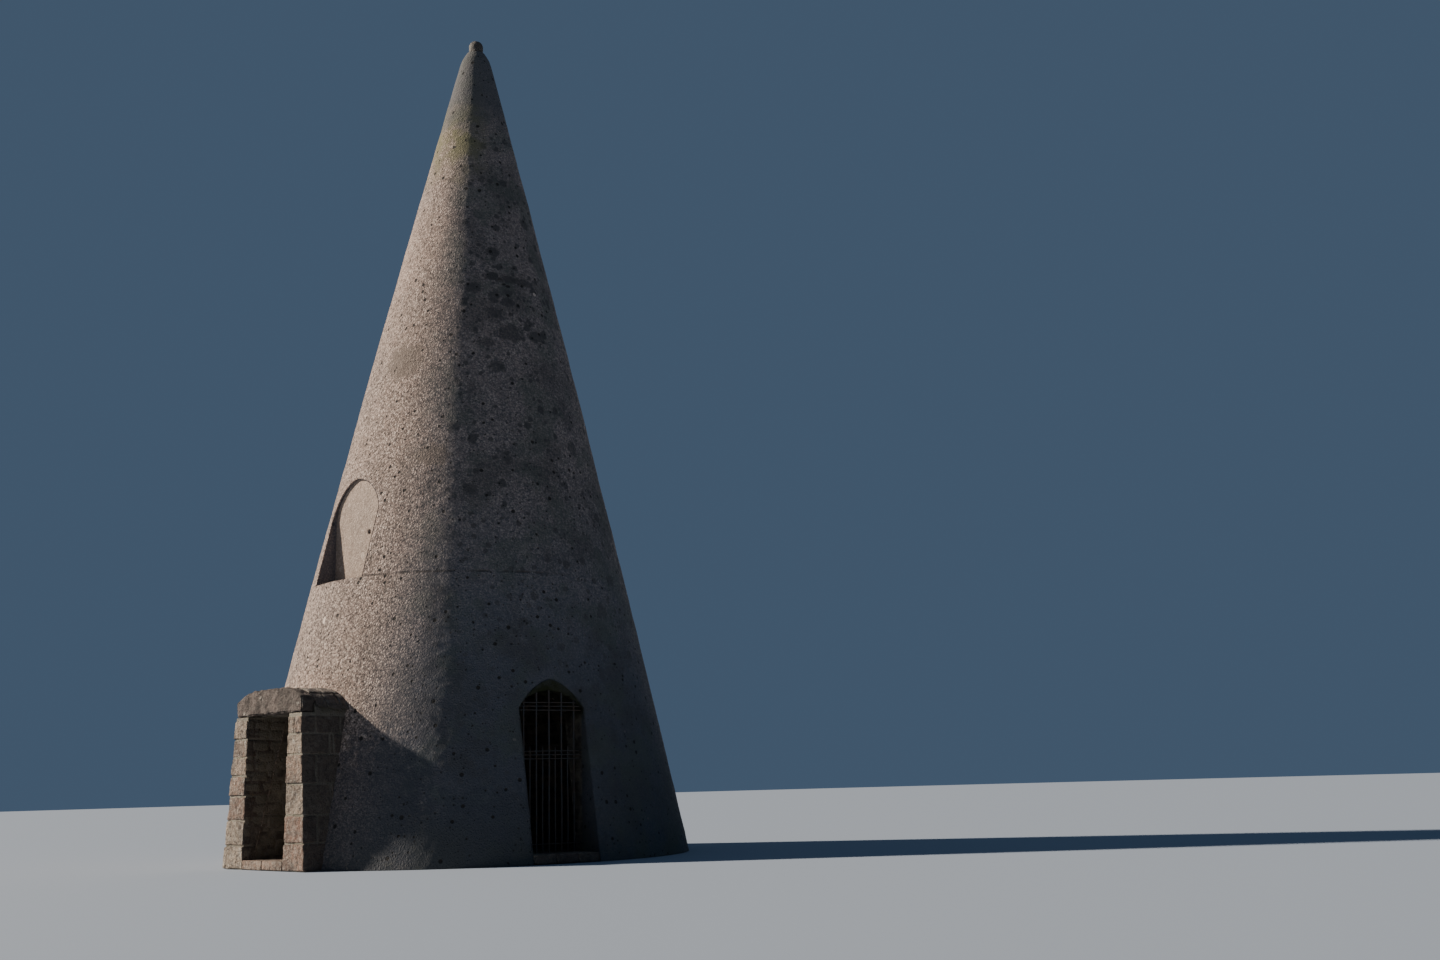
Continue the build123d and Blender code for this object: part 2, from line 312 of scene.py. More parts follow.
class Slot(Enum):
    """Material slots of the record."""

    ROUGHCAST = "roughcast"
    RECESS = "recess_render"
    CAP = "cap_stone"
    FLOOR = "floor_stone"
    PORCH = "porch_stone"
    LINTEL = "lintel_stone"
    ROOF = "roof_mortar"
    IRON = "wrought_iron"


def present(piece: Piece, slot: Slot, look: Material, *nodes: str) -> None:
    """Dress a piece and fix it to the tower in place of its nodes.

    Args:
        piece: The finished object.
        slot: Not used.
        look: Its material.
        nodes: Nodes of the frame that it stands for.
    """
    piece.data.materials.append(look)
    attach(piece, "root")
    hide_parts(*nodes)
    sides = sum(len(face.vertices) - 2 for face in piece.data.polygons)
    LOG.info("%s: %d triangles, for %s", piece.name, sides, ", ".join(nodes))


class Painter:
    """Adds shader nodes to one tree and joins them."""

    def __init__(self, tree: Tree) -> None:
        """Work on the given tree."""
        self.tree = tree

    def add(self, kind: str, inputs: Optional[dict[str, Value]] = None, **settings: object) -> Node:
        """Add a node.

        Args:
            kind: The node's type, without the word ShaderNode.
            inputs: Value or joined socket for each named input.
            settings: The node's own settings.

        Returns:
            The new node.
        """
        node = self.tree.nodes.new("ShaderNode" + kind)
        for name, setting in settings.items():
            setattr(node, name, setting)
        for name, value in (inputs or {}).items():
            self.feed(node.inputs[name], value)
        return node

    def feed(self, socket: Socket, value: Value) -> None:
        """Join a socket to another one, or set its value."""
        if isinstance(value, bpy.types.NodeSocket):
            self.tree.links.new(value, socket)
        elif socket.type == "RGBA":
            socket.default_value = (*value, 1.0)
        else:
            socket.default_value = value

    def chain(self, operation: str, *values: Value) -> Socket:
        """Result of one sum carried on from number to number, as the product of several."""
        total = values[0]
        for value in values[1:]:
            node = self.add("Math", operation=operation)
            self.feed(node.inputs[0], total)
            self.feed(node.inputs[1], value)
            total = node.outputs[0]
        return total

    times = partialmethod(chain, "MULTIPLY")
    plus = partialmethod(chain, "ADD")
    less = partialmethod(chain, "SUBTRACT")
    most = partialmethod(chain, "MAXIMUM")

    def weighed(self, *parts: tuple[Value, float]) -> Socket:
        """Sum of numbers, each times its weight."""
        return self.plus(*[self.times(*part) for part in parts])

    def vector(self, operation: str, first: Value, second: Optional[Value] = None) -> Node:
        """Sum on one or two vectors, or on a vector and the number that scales it."""
        node = self.add("VectorMath", operation=operation)
        self.feed(node.inputs[0], first)
        if second is not None:
            self.feed(node.inputs["Scale" if operation == "SCALE" else 1], second)
        return node

    def span(self, value: Value, low: float, high: float, start: float = 0.0, end: float = 1.0) -> Socket:
        """Smooth change from start at low to end at high."""
        inputs = {"Value": value, "From Min": low, "From Max": high, "To Min": start, "To Max": end}
        return self.add("MapRange", inputs, interpolation_type="SMOOTHSTEP").outputs["Result"]

    def ease(self, share: Value, start: float, end: float) -> Socket:
        """Smooth change from start to end as a share goes from 0 to 1."""
        return self.span(share, 0.0, 1.0, start, end)

    def mix(self, factor: Value, first: Value, second: Value) -> Socket:
        """Blend of two colours."""
        node = self.add("Mix", data_type="RGBA")
        for place, value in ((0, factor), (6, first), (7, second)):
            self.feed(node.inputs[place], value)
        return node.outputs[2]

    def lay(self, colour: Value, *layers: tuple[Value, ...]) -> Socket:
        """Lay tints over a colour in order, each where the product of its masks lets it show."""
        for tint, *masks in layers:
            colour = self.mix(self.times(*masks), colour, tint)
        return colour

    def mottle(self, vector: Value, scale: float, detail: float = 3.0, roughness: float = 0.55) -> Socket:
        """Cloudy value from 0 to 1."""
        inputs = {"Vector": vector, "Scale": scale, "Detail": detail, "Roughness": roughness}
        return self.add("TexNoise", inputs).outputs["Fac"]

    def wander(self, cloud: Socket, reach: Value) -> Socket:
        """Cloudy value moved to lie round 0, as wide as the reach."""
        return self.times(self.less(cloud, 0.5), reach)

    def towards(self, vector: Value, azimuth: float, low: float, high: float = 0.9) -> Socket:
        """How far a unit vector points to an azimuth: 0 under the low cosine and 1 over the high one."""
        along = self.vector("DOT_PRODUCT", vector, heading(azimuth))
        return self.span(along.outputs["Value"], low, high)

    def group(self, tree: Tree, **values: Value) -> Outputs:
        """Place a shared effect and give its outputs by name."""
        node = self.add("Group", node_tree=tree)
        for name, value in values.items():
            self.feed(node.inputs[name], value)
        return node.outputs


class Effect(Painter):
    """Shader node group of one shared effect, which reads a place and numbers."""

    def __init__(self, name: str, inputs: dict[str, float], outputs: Sequence[str]) -> None:
        """Start the group.

        Args:
            name: Name of the effect.
            inputs: Name and usual value of each number that it reads, besides Vector.
            outputs: Names of the values that it puts out.
        """
        super().__init__(bpy.data.node_groups.new(name, "ShaderNodeTree"))
        sockets = self.tree.interface
        sockets.new_socket(name="Vector", in_out="INPUT", socket_type="NodeSocketVector")
        for label, usual in inputs.items():
            socket = sockets.new_socket(name=label, in_out="INPUT", socket_type="NodeSocketFloat")
            socket.default_value = usual
        for label in outputs:
            sockets.new_socket(name=label, in_out="OUTPUT", socket_type="NodeSocketFloat")
        self.read = self.tree.nodes.new("NodeGroupInput").outputs
        self.place = self.read["Vector"]
        self.out = self.tree.nodes.new("NodeGroupOutput")

    def give(self, **values: Socket) -> Tree:
        """Join the outputs and hand the group over."""
        for label, value in values.items():
            self.feed(self.out.inputs[label], value)
        return self.tree

    def cells(self, place: Socket) -> tuple[Socket, Node]:
        """Distance from the middle of each cell of a net as fine as Scale, and its random numbers."""
        net = self.add("TexVoronoi", {"Vector": place, "Scale": self.read["Scale"]}).outputs
        return net["Distance"], self.add("SeparateColor", {"Color": net["Color"]})


class Effects:
    """Shared effects of the finishes, each built once."""

    def __init__(self) -> None:
        """Build every shared effect."""
        self.pebbles = self.build_pebbles()
        self.spots = self.build_spots()
        self.weather = self.build_weather()
        self.band = self.build_band()
        self.blot = self.build_blot()

    def build_pebbles(self) -> Tree:
        """Thrown pebbles: round lumps of uneven tone with crevices between them."""
        made = Effect("pebbles", {"Scale": 28.0}, ("Height", "Tone", "Crevice"))
        warp = made.add("TexNoise", {"Vector": made.place, "Scale": 18.0, "Detail": 1.0})
        moved = made.vector("MULTIPLY", warp.outputs["Color"], (0.02, 0.02, 0.02)).outputs[0]
        away, draws = made.cells(made.vector("ADD", made.place, moved).outputs[0])
        lumps = made.span(away, 0.08, 0.62, 1.0, 0.0)
        uneven = made.times(lumps, made.ease(draws.outputs[0], 0.35, 1.0), 0.8)
        grit = made.times(made.mottle(made.place, 95.0, 3.0, 0.65), 0.35)
        # The crevice mask carries painted shade between the pebbles.
        crevice = made.span(away, 0.42, 0.68)
        return made.give(Height=made.plus(uneven, grit), Tone=draws.outputs[0], Crevice=crevice)

    def build_spots(self) -> Tree:
        """Scattered round spots with ragged edges, on a share of the cells of a net."""
        made = Effect("spots", {"Scale": 3.0, "Radius": 0.1, "Share": 0.5, "Ragged": 0.1}, ("Mask",))
        warp = made.add("TexNoise", {"Vector": made.place, "Scale": 14.0, "Detail": 3.0})
        centred = made.vector("ADD", warp.outputs["Color"], (-0.5, -0.5, -0.5)).outputs[0]
        moved = made.vector("SCALE", centred, made.read["Ragged"]).outputs[0]
        away, draws = made.cells(made.vector("ADD", made.place, moved).outputs[0])
        chosen = made.chain("LESS_THAN", draws.outputs[0], made.read["Share"])
        radius = made.times(made.read["Radius"], made.ease(draws.outputs[1], 0.45, 1.0))
        disc = made.span(made.chain("DIVIDE", away, radius), 0.7, 1.05, 1.0, 0.0)
        return made.give(Mask=made.times(chosen, disc))

    def build_weather(self) -> Tree:
        """Clouds, smaller blotches and runs of damp down the wall."""
        made = Effect("weather", {"Scale": 1.0}, ("Clouds", "Blotches", "Streaks"))
        place = made.vector("SCALE", made.place, made.read["Scale"]).outputs[0]
        upright = made.vector("MULTIPLY", place, (5.0, 5.0, 0.55)).outputs[0]
        return made.give(
            Clouds=made.span(made.mottle(place, 0.9, 4.0, 0.6), 0.36, 0.64),
            Blotches=made.span(made.mottle(place, 3.6, 5.0, 0.62), 0.5, 0.66),
            Streaks=made.span(made.mottle(upright, 1.0, 5.0, 0.6), 0.45, 0.7),
        )

    def build_band(self) -> Tree:
        """Broken level line round the tower at one height."""
        made = Effect("level_band", {"Level": 3.2, "Width": 0.03, "Wander": 0.05}, ("Mask",))
        height = made.add("SeparateXYZ", {"Vector": made.place}).outputs["Z"]
        level = made.plus(height, made.wander(made.mottle(made.place, 2.2, 4.0), made.read["Wander"]))
        away = made.chain("ABSOLUTE", made.less(level, made.read["Level"]), 0.0)
        near = made.span(made.chain("DIVIDE", away, made.read["Width"]), 0.25, 1.0, 1.0, 0.0)
        broken = made.span(made.mottle(made.place, 7.0, 3.0), 0.4, 0.6)
        return made.give(Mask=made.times(near, broken))

    def build_blot(self) -> Tree:
        """One ragged patch round a given place."""
        inputs = {"X": 0.0, "Y": 0.0, "Z": 0.0, "Across": 0.1, "Up": 0.1}
        made = Effect("blot", inputs, ("Mask",))
        spot = made.add("SeparateXYZ", {"Vector": made.place}).outputs
        x, y, z = (made.less(spot[axis], made.read[axis]) for axis in ("X", "Y", "Z"))
        level = made.plus(made.times(x, x), made.times(y, y))
        level = made.chain("DIVIDE", level, made.times(made.read["Across"], made.read["Across"]))
        rise = made.chain("DIVIDE", z, made.read["Up"])
        away = made.chain("SQRT", made.plus(level, made.times(rise, rise)), 0.0)
        ragged = made.wander(made.mottle(made.place, 11.0, 5.0, 0.62), 1.8)
        return made.give(Mask=made.span(made.plus(away, ragged), 0.7, 1.15, 1.0, 0.0))


class Coat(Painter):
    """Painter of one material, with its place on the piece and its shader."""

    def __init__(self, name: str, effects: Effects) -> None:
        """Start the material."""
        self.material = bpy.data.materials.new(name)
        self.material.use_nodes = True
        super().__init__(self.material.node_tree)
        self.effects = effects
        self.shader = self.tree.nodes["Principled BSDF"]
        self.shader.inputs["Specular IOR Level"].default_value = 0.25
        self.place = self.add("TexCoord").outputs["Object"]

    def mark(self, name: str) -> Socket:
        """Value of a surface mark of the piece."""
        return self.add("Attribute", attribute_name=name, attribute_type="GEOMETRY").outputs["Fac"]

    def pebbles(self, scale: float) -> Outputs:
        """Outputs of the pebbles at a scale."""
        return self.group(self.effects.pebbles, Vector=self.place, Scale=scale)

    def weather(self, scale: float) -> Outputs:
        """Outputs of the weather at a scale."""
        return self.group(self.effects.weather, Vector=self.place, Scale=scale)

    def facing(self, azimuth: float) -> Socket:
        """How far a place on the tower lies towards an azimuth."""
        level = self.vector("MULTIPLY", self.place, (1.0, 1.0, 0.0)).outputs[0]
        return self.towards(self.vector("NORMALIZE", level).outputs[0], azimuth, 0.45)

    def turned(self, azimuth: float) -> Socket:
        """How far the surface itself is turned to an azimuth."""
        return self.towards(self.add("TexCoord").outputs["Normal"], azimuth, 0.3)

    def finish(self, colour: Socket, roughness: Socket, relief: Socket, height: float) -> Material:
        """Feed the shader.

        Args:
            colour: Base colour.
            roughness: Roughness.
            relief: Relief for the shading, from 0 to about 1.
            height: Height of the full relief in metres.

        Returns:
            The material.
        """
        bump = self.add("Bump", {"Height": relief, "Distance": height, "Strength": 1.0})
        self.feed(self.shader.inputs["Base Color"], colour)
        self.feed(self.shader.inputs["Roughness"], roughness)
        self.feed(self.shader.inputs["Normal"], bump.outputs["Normal"])
        return self.material


@dataclass(frozen=True)
class Cloud:
    """Cloudy mask: noise of a scale and detail that rises from 0 at low to 1 at high."""

    scale: float
    detail: float
    low: float
    high: float
    roughness: float = 0.55
    offset: Series = ()

    def mask(self, coat: Coat) -> Socket:
        """The mask over a piece."""
        place = coat.vector("ADD", coat.place, self.offset).outputs[0] if self.offset else coat.place
        return coat.span(coat.mottle(place, self.scale, self.detail, self.roughness), self.low, self.high)


@dataclass(frozen=True)
class Spots:
    """Scattered spots: fineness of their net, largest radius in cells, share of cells, raggedness."""

    scale: float
    radius: float
    share: float
    ragged: float

    def mask(self, coat: Coat) -> Socket:
        """The mask over a piece."""
        sizes = {"Scale": self.scale, "Radius": self.radius, "Share": self.share, "Ragged": self.ragged}
        return coat.group(coat.effects.spots, Vector=coat.place, **sizes)["Mask"]


@dataclass(frozen=True)
class Band:
    """Broken level line round the tower: its height, its half width and how far it wanders."""

    level: float
    width: float
    wander: float

    def mask(self, coat: Coat) -> Socket:
        """The mask over a piece."""
        sizes = {"Level": self.level, "Width": self.width, "Wander": self.wander}
        return coat.group(coat.effects.band, Vector=coat.place, **sizes)["Mask"]


@dataclass(frozen=True)
class Blot:
    """One patch on the tower, by the azimuth and the height of its middle."""

    azimuth: float
    height: float
    across: float
    up: float
    strength: float = 0.6

    def mask(self, coat: Coat, radius: float) -> Socket:
        """The mask on a face of the given radius, as strong as the patch."""
        x, y, _ = heading(self.azimuth)
        sizes = {"X": radius * x, "Y": radius * y, "Z": self.height, "Across": self.across, "Up": self.up}
        return coat.times(coat.group(coat.effects.blot, Vector=coat.place, **sizes)["Mask"], self.strength)


@dataclass(frozen=True)
class RoughcastFinish:
    """Fine pebbled render of the tower, pinkish grey, with rubble masonry on its inner side."""

    effects: Effects
    radius_at: Callable[[float], float]
    warm: Colour = (0.505, 0.352, 0.28)
    cool: Colour = (0.375, 0.275, 0.228)
    dark: Colour = (0.07, 0.057, 0.05)
    pale: Colour = (0.82, 0.655, 0.545)
    olive: Colour = (0.205, 0.185, 0.10)
    soot: Colour = (0.10, 0.10, 0.105)
    crust: Colour = (0.075, 0.07, 0.068)
    stain: Colour = (0.20, 0.155, 0.125)
    # Bluish painted shade, laid over the shaded side and over the recess's reveal.
    painted_shade_blue: Colour = (0.108, 0.122, 0.148)
    # Deeper painted shade, for the shaded side's foot and for the painted shadow patches.
    painted_shade_deep: Colour = (0.062, 0.067, 0.08)
    algae: Colour = (0.10, 0.115, 0.095)
    damp: Colour = (0.11, 0.11, 0.075)
    # Near black for pits, nicks and gaps: painted shade inside the holes.
    hole: Colour = (0.03, 0.026, 0.023)
    rubble: Colour = (0.10, 0.087, 0.07)
    buff: Colour = (0.25, 0.215, 0.165)
    mortar: Colour = (0.175, 0.15, 0.125)
    # Moss under the grille's head: real moss, darkened further as painted shade under the head.
    moss: Colour = (0.027, 0.031, 0.012)
    shaded_azimuth: float = -8.0
    line_azimuth: float = -54.0
    olive_azimuth: float = -75.0
    relief: float = 0.016
    coarse: float = 39.0
    small: float = 82.0
    gravel: float = 56.0
    pits: Spots = Spots(8.0, 0.2, 0.9, 0.01)
    nicks: Spots = Spots(15.0, 0.2, 0.75, 0.008)
    clots: Spots = Spots(6.5, 0.36, 0.85, 0.06)
    lichens: tuple[tuple[Spots, float], ...] = (
        (Spots(2.3, 0.26, 0.7, 0.13), 0.66),
        (Spots(4.4, 0.3, 0.65, 0.08), 0.84),
        (Spots(8.5, 0.34, 0.75, 0.04), 0.8),
    )
    chalk: Spots = Spots(6.1, 0.12, 0.25, 0.03)
    lift_line: Band = Band(3.178, 0.02, 0.012)
    row: Band = Band(6.99, 0.1, 0.08)
    lining_flecks: Cloud = Cloud(9.0, 5.0, 0.4, 0.65)
    moss_cloud: Cloud = Cloud(7.0, 4.0, 0.35, 0.62)
    crust_cloud: Cloud = Cloud(1.5, 5.0, 0.44, 0.62, 0.6)
    algae_cloud: Cloud = Cloud(1.9, 5.0, 0.47, 0.62, 0.6, (7.0, 3.0, 5.0))
    olive_cloud: Cloud = Cloud(4.6, 4.0, 0.36, 0.6)
    damp_cloud: Cloud = Cloud(1.7, 4.0, 0.3, 0.6)
    crusts: tuple[Blot, ...] = (
        Blot(-22.1, 7.34, 0.085, 0.08, 0.87),
        Blot(-24.3, 6.99, 0.08, 0.06, 0.95),
        Blot(-6.6, 6.97, 0.27, 0.055, 0.77),
        Blot(-37.1, 6.81, 0.10, 0.07, 0.77),
        Blot(-23.6, 6.70, 0.08, 0.10, 0.72),
        Blot(-15.5, 6.64, 0.10, 0.06, 0.67),
        Blot(-23.3, 6.47, 0.11, 0.075, 0.67),
        Blot(-14.8, 6.22, 0.18, 0.12, 0.72),
        Blot(3.8, 6.23, 0.16, 0.09, 0.77),
        Blot(14.2, 7.88, 0.09, 0.08, 0.77),
        Blot(-29.1, 6.06, 0.12, 0.065, 0.62),
        Blot(-23.9, 5.74, 0.12, 0.08, 0.67),
    )
    stains: tuple[Blot, ...] = (Blot(-76.0, 5.87, 0.30, 0.23, 0.8), Blot(-54.0, 4.59, 0.24, 0.14, 0.65))
    gaps: tuple[Blot, ...] = (Blot(-16.5, 6.89, 0.035, 0.018, 0.9), Blot(-13.4, 6.87, 0.035, 0.018, 0.9))
    # Painted shadow patches: beside the porch, where its shadow falls, and at the shaded foot.
    painted_shadow_patches: tuple[Blot, ...] = (Blot(-62.0, 0.55, 0.75, 0.95, 0.7), Blot(-30.0, 0.0, 1.3, 0.8, 0.55))
    flecks: tuple[Blot, ...] = (Blot(-90.6, 2.72, 0.025, 0.05, 0.9), Blot(8.4, 6.85, 0.03, 0.02, 0.7))

    def material(self) -> Material:
        """Build the material: the render, its marks, then the inner side's rubble."""
        coat = Coat("roughcast_and_rubble", self.effects)
        height = coat.add("SeparateXYZ", {"Vector": coat.place}).outputs["Z"]
        shaded = coat.facing(self.shaded_azimuth)
        weather = coat.weather(1.0)
        coarse = coat.pebbles(self.coarse)
        small = coat.pebbles(self.small)
        gravel = coat.mottle(coat.place, self.gravel, 3.0, 0.62)
        grain = coat.weighed((coarse["Tone"], 0.6), (small["Tone"], 0.4))
        rough = coat.span(height, 5.2, 8.2, 1.0, 0.8)
        colour = coat.lay(
            coat.mix(weather["Clouds"], self.cool, self.warm),
            (self.pale, coat.span(grain, 0.5, 0.88), rough, 0.75),
            (self.dark, coat.span(grain, 0.5, 0.12), rough, 0.85),
            (self.dark, coat.span(gravel, 0.5, 0.3), rough, 0.85),
            (self.pale, coat.span(gravel, 0.5, 0.7), rough, 0.6),
            # painted shade in the crevices between pebbles
            (self.dark, coarse["Crevice"], rough, 0.5),
            (self.stain, weather["Blotches"], 0.3),
            (self.dark, weather["Streaks"], 0.14),
        )
        colour = self.add_growth(coat, colour, height, shaded)

        nicks = coat.times(self.nicks.mask(coat), 0.75)
        holes = coat.most(self.pits.mask(coat), nicks, self.patches(coat, self.gaps))
        joint = coat.times(self.lift_line.mask(coat), coat.facing(self.line_azimuth), 0.9)
        blotted = coat.ease(self.clots.mask(coat), 0.25, 1.0)
        lines = coat.most(joint, coat.times(self.row.mask(coat), shaded, blotted))
        lining = coat.mark("lining")
        stone = coat.lay(
            coat.mix(coat.mark("tone"), self.rubble, self.buff),
            (self.dark, self.lining_flecks.mask(coat)),
            (self.mortar, coat.mark("joint")),
        )
        colour = coat.lay(
            colour,
            (self.stain, self.patches(coat, self.stains)),
            (self.crust, self.patches(coat, self.crusts)),
            # painted shadow patches
            (self.painted_shade_deep, self.patches(coat, self.painted_shadow_patches)),
            (self.dark, lines, 0.85),
            (self.pale, self.patches(coat, self.flecks)),
            # painted shade inside the pits, nicks and gaps
            (self.hole, holes, 0.94),
            # bluish painted shade over the reveal's render
            (self.painted_shade_blue, coat.mark("painted_reveal_shade")),
            (stone, lining),
            # moss under the grille's head, partly painted shade
            (self.moss, coat.mark("moss"), coat.ease(self.moss_cloud.mask(coat), 0.8, 1.0)),
        )

        relief = coat.weighed((coarse["Height"], 0.6), (small["Height"], 0.2), (gravel, 0.9))
        relief = coat.times(relief, coat.ease(lining, 1.0, 0.4), coat.span(height, 9.3, 10.0, 1.0, 0.55))
        relief = coat.less(relief, coat.times(holes, 1.1), coat.times(lines, 0.35))
        return coat.finish(colour, coat.ease(grain, 0.98, 0.86), relief, self.relief)

    def patches(self, coat: Coat, blots: Sequence[Blot]) -> Socket:
        """Mask of several single patches together."""
        return coat.most(*[blot.mask(coat, self.radius_at(blot.height)) for blot in blots])

    def add_growth(self, coat: Coat, colour: Socket, height: Socket, shaded: Socket) -> Socket:
        """Lay lichen, soot and damp over the render.

        The shaded side takes a bluish painted shade, deeper at its foot. Dark round patches of three sizes
        lie thickest there. The upper part turns olive, then a sooty grey towards the point. The foot is damp.

        Args:
            coat: Painter of the material.
            colour: Colour so far.
            height: Height of the place.
            shaded: How far the place faces the shaded side.

        Returns:
            The colour with the growth on it.
        """
        level = coat.plus(height, coat.wander(coat.mottle(coat.place, 3.2, 4.0), 1.1))
        # Strength of the painted shade on the shaded side: 0.45, rising towards the foot.
        foot = coat.plus(coat.span(level, 4.6, 1.8, 0.0, 0.42), 0.45)
        lichen = coat.most(*[coat.times(spots.mask(coat), share) for spots, share in self.lichens])
        reach = coat.ease(shaded, 0.16, 1.0)
        aloft = coat.span(height, 1.2, 4.4, 0.4, 1.0)
        olive = coat.times(coat.span(level, 8.2, 9.1), coat.facing(self.olive_azimuth))
        wet = coat.times(coat.span(height, 0.75, 0.05), self.damp_cloud.mask(coat))
        return coat.lay(
            colour,
            # Painted shade over the whole shaded side, stronger towards the foot.
            (self.painted_shade_blue, shaded, foot),
            # Deeper painted shade at the foot of the shaded side.
            (self.painted_shade_deep, shaded, coat.span(level, 3.2, 0.9, 0.0, 0.6)),
            (self.crust, shaded, self.crust_cloud.mask(coat), 0.5),
            (self.algae, shaded, self.algae_cloud.mask(coat), 0.45),
            (self.crust, lichen, reach, aloft),
            (self.pale, self.chalk.mask(coat), coat.ease(shaded, 0.5, 0.1)),
            (self.olive, olive, coat.ease(self.olive_cloud.mask(coat), 0.35, 0.95)),
            (self.soot, coat.span(level, 8.9, 9.8), 0.85),
            (self.damp, wet, 0.6),
        )


@dataclass(frozen=True)
class RenderFinish:
    """Slightly paler and smoother render of the recess's back."""

    effects: Effects
    base: Colour = (0.45, 0.335, 0.262)
    grey: Colour = (0.375, 0.285, 0.228)
    dark: Colour = (0.13, 0.10, 0.082)
    pale: Colour = (0.68, 0.55, 0.45)
    # Near black for nicks and the hole: painted shade inside them.
    hole: Colour = (0.03, 0.025, 0.022)
    relief: float = 0.010
    coarse: float = 46.0
    small: float = 90.0
    gravel: float = 60.0
    nicks: Spots = Spots(16.0, 0.13, 0.3, 0.006)
    chalk: Spots = Spots(3.0, 0.26, 0.3, 0.04)

    def material(self) -> Material:
        """Build the material."""
        coat = Coat("recess_render", self.effects)
        weather = coat.weather(2.2)
        coarse = coat.pebbles(self.coarse)
        small = coat.pebbles(self.small)
        gravel = coat.mottle(coat.place, self.gravel, 3.0, 0.62)
        nicks = self.nicks.mask(coat)
        grain = coat.weighed((coarse["Tone"], 0.5), (small["Tone"], 0.5))
        colour = coat.lay(
            coat.mix(weather["Clouds"], self.grey, self.base),
            (self.pale, coat.span(grain, 0.5, 0.9), 0.5),
            (self.dark, coat.span(grain, 0.5, 0.1), 0.4),
            (self.dark, coat.span(gravel, 0.5, 0.3), 0.55),
            (self.dark, weather["Blotches"], 0.2),
            # painted shade in the crevices between pebbles
            (self.dark, coarse["Crevice"], 0.25),
            (self.pale, self.chalk.mask(coat), 0.4),
            # painted shade inside the nicks and the hole
            (self.hole, nicks, 0.8),
            (self.hole, coat.mark("hole")),
        )
        relief = coat.weighed((coarse["Height"], 0.6), (small["Height"], 0.3))
        relief = coat.less(relief, coat.times(nicks, 1.2))
        return coat.finish(colour, coat.ease(grain, 0.97, 0.86), relief, self.relief)


@dataclass(frozen=True)
class StoneFinish:
    """Weathered sandstone with pale and ochre lichen, each block with a tone of its own."""

    effects: Effects
    name: str
    brown: Colour = (0.27, 0.155, 0.11)
    buff: Colour = (0.415, 0.325, 0.24)
    dark: Colour = (0.07, 0.056, 0.048)
    pale: Colour = (0.62, 0.56, 0.47)
    ochre: Colour = (0.38, 0.26, 0.09)
    lichen_share: float = 0.45
    grains: float = 0.3
    stain: float = 0.35
    # Faces turned to this azimuth get painted shade.
    painted_shade_azimuth: float = -5.0
    relief: float = 0.016
    grit: float = 75.0
    gold: Spots = Spots(4.6, 0.3, 0.2, 0.22)
    frays: Cloud = Cloud(38.0, 4.0, 0.4, 0.6, 0.65)
    grain_cloud: Cloud = Cloud(17.0, 5.0, 0.42, 0.62, 0.7)
    cracks: Cloud = Cloud(23.0, 7.0, 0.47, 0.38, 0.7)
    pocks: Cloud = Cloud(21.0, 6.0, 0.3, 0.75, 0.66)

    def material(self) -> Material:
        """Build the material."""
        coat = Coat(self.name, self.effects)
        weather = coat.weather(3.0)
        grit = coat.pebbles(self.grit)
        frayed = self.frays.mask(coat)
        lichen = Spots(6.0, 0.32, self.lichen_share, 0.2)
        colour = coat.lay(
            coat.mix(coat.mark("tone"), self.brown, self.buff),
            (self.dark, weather["Clouds"], self.stain),
            (self.dark, weather["Blotches"], self.stain),
            (self.pale, self.grain_cloud.mask(coat), self.grains),
            (self.ochre, self.gold.mask(coat), frayed, 0.6),
            (self.pale, lichen.mask(coat), frayed, 0.75),
            # painted shade in the crevices between grains
            (self.dark, grit["Crevice"], 0.4),
            (self.dark, self.cracks.mask(coat), 0.72),
            # painted shade on faces turned to the shaded side
            (self.dark, coat.turned(self.painted_shade_azimuth), 0.75),
        )
        relief = coat.plus(coat.times(grit["Height"], 0.3), self.pocks.mask(coat))
        return coat.finish(colour, coat.ease(grit["Tone"], 0.96, 0.84), relief, self.relief)


@dataclass(frozen=True)
class MortarFinish:
    """Mortar and rubble of the porch's core, its roof and the floor."""

    effects: Effects
    name: str
    base: Colour = (0.27, 0.235, 0.19)
    dark: Colour = (0.10, 0.085, 0.07)
    rubble: Colour = (0.17, 0.13, 0.095)
    moss: Colour = (0.075, 0.082, 0.03)
    moss_share: float = 0.25
    # Faces turned to this azimuth get painted shade.
    painted_shade_azimuth: float = -5.0
    relief: float = 0.012
    grit: float = 52.0
    moss_cloud: Cloud = Cloud(4.4, 5.0, 0.46, 0.62)

    def material(self) -> Material:
        """Build the material."""
        coat = Coat(self.name, self.effects)
        weather = coat.weather(2.4)
        grit = coat.pebbles(self.grit)
        stone = coat.mix(coat.mark("tone"), self.rubble, self.base)
        colour = coat.lay(
            self.base,
            (stone, coat.mark("lining"), coat.ease(coat.mark("joint"), 1.0, 0.0)),
            (self.dark, weather["Blotches"], 0.5),
            (self.dark, weather["Clouds"], 0.35),
            (self.moss, self.moss_cloud.mask(coat), self.moss_share),
            # painted shade in the crevices between grains
            (self.dark, grit["Crevice"], 0.4),
            # painted shade on faces turned to the shaded side
            (self.dark, coat.turned(self.painted_shade_azimuth), 0.6),
        )
        return coat.finish(colour, coat.ease(grit["Tone"], 0.97, 0.86), grit["Height"], self.relief)


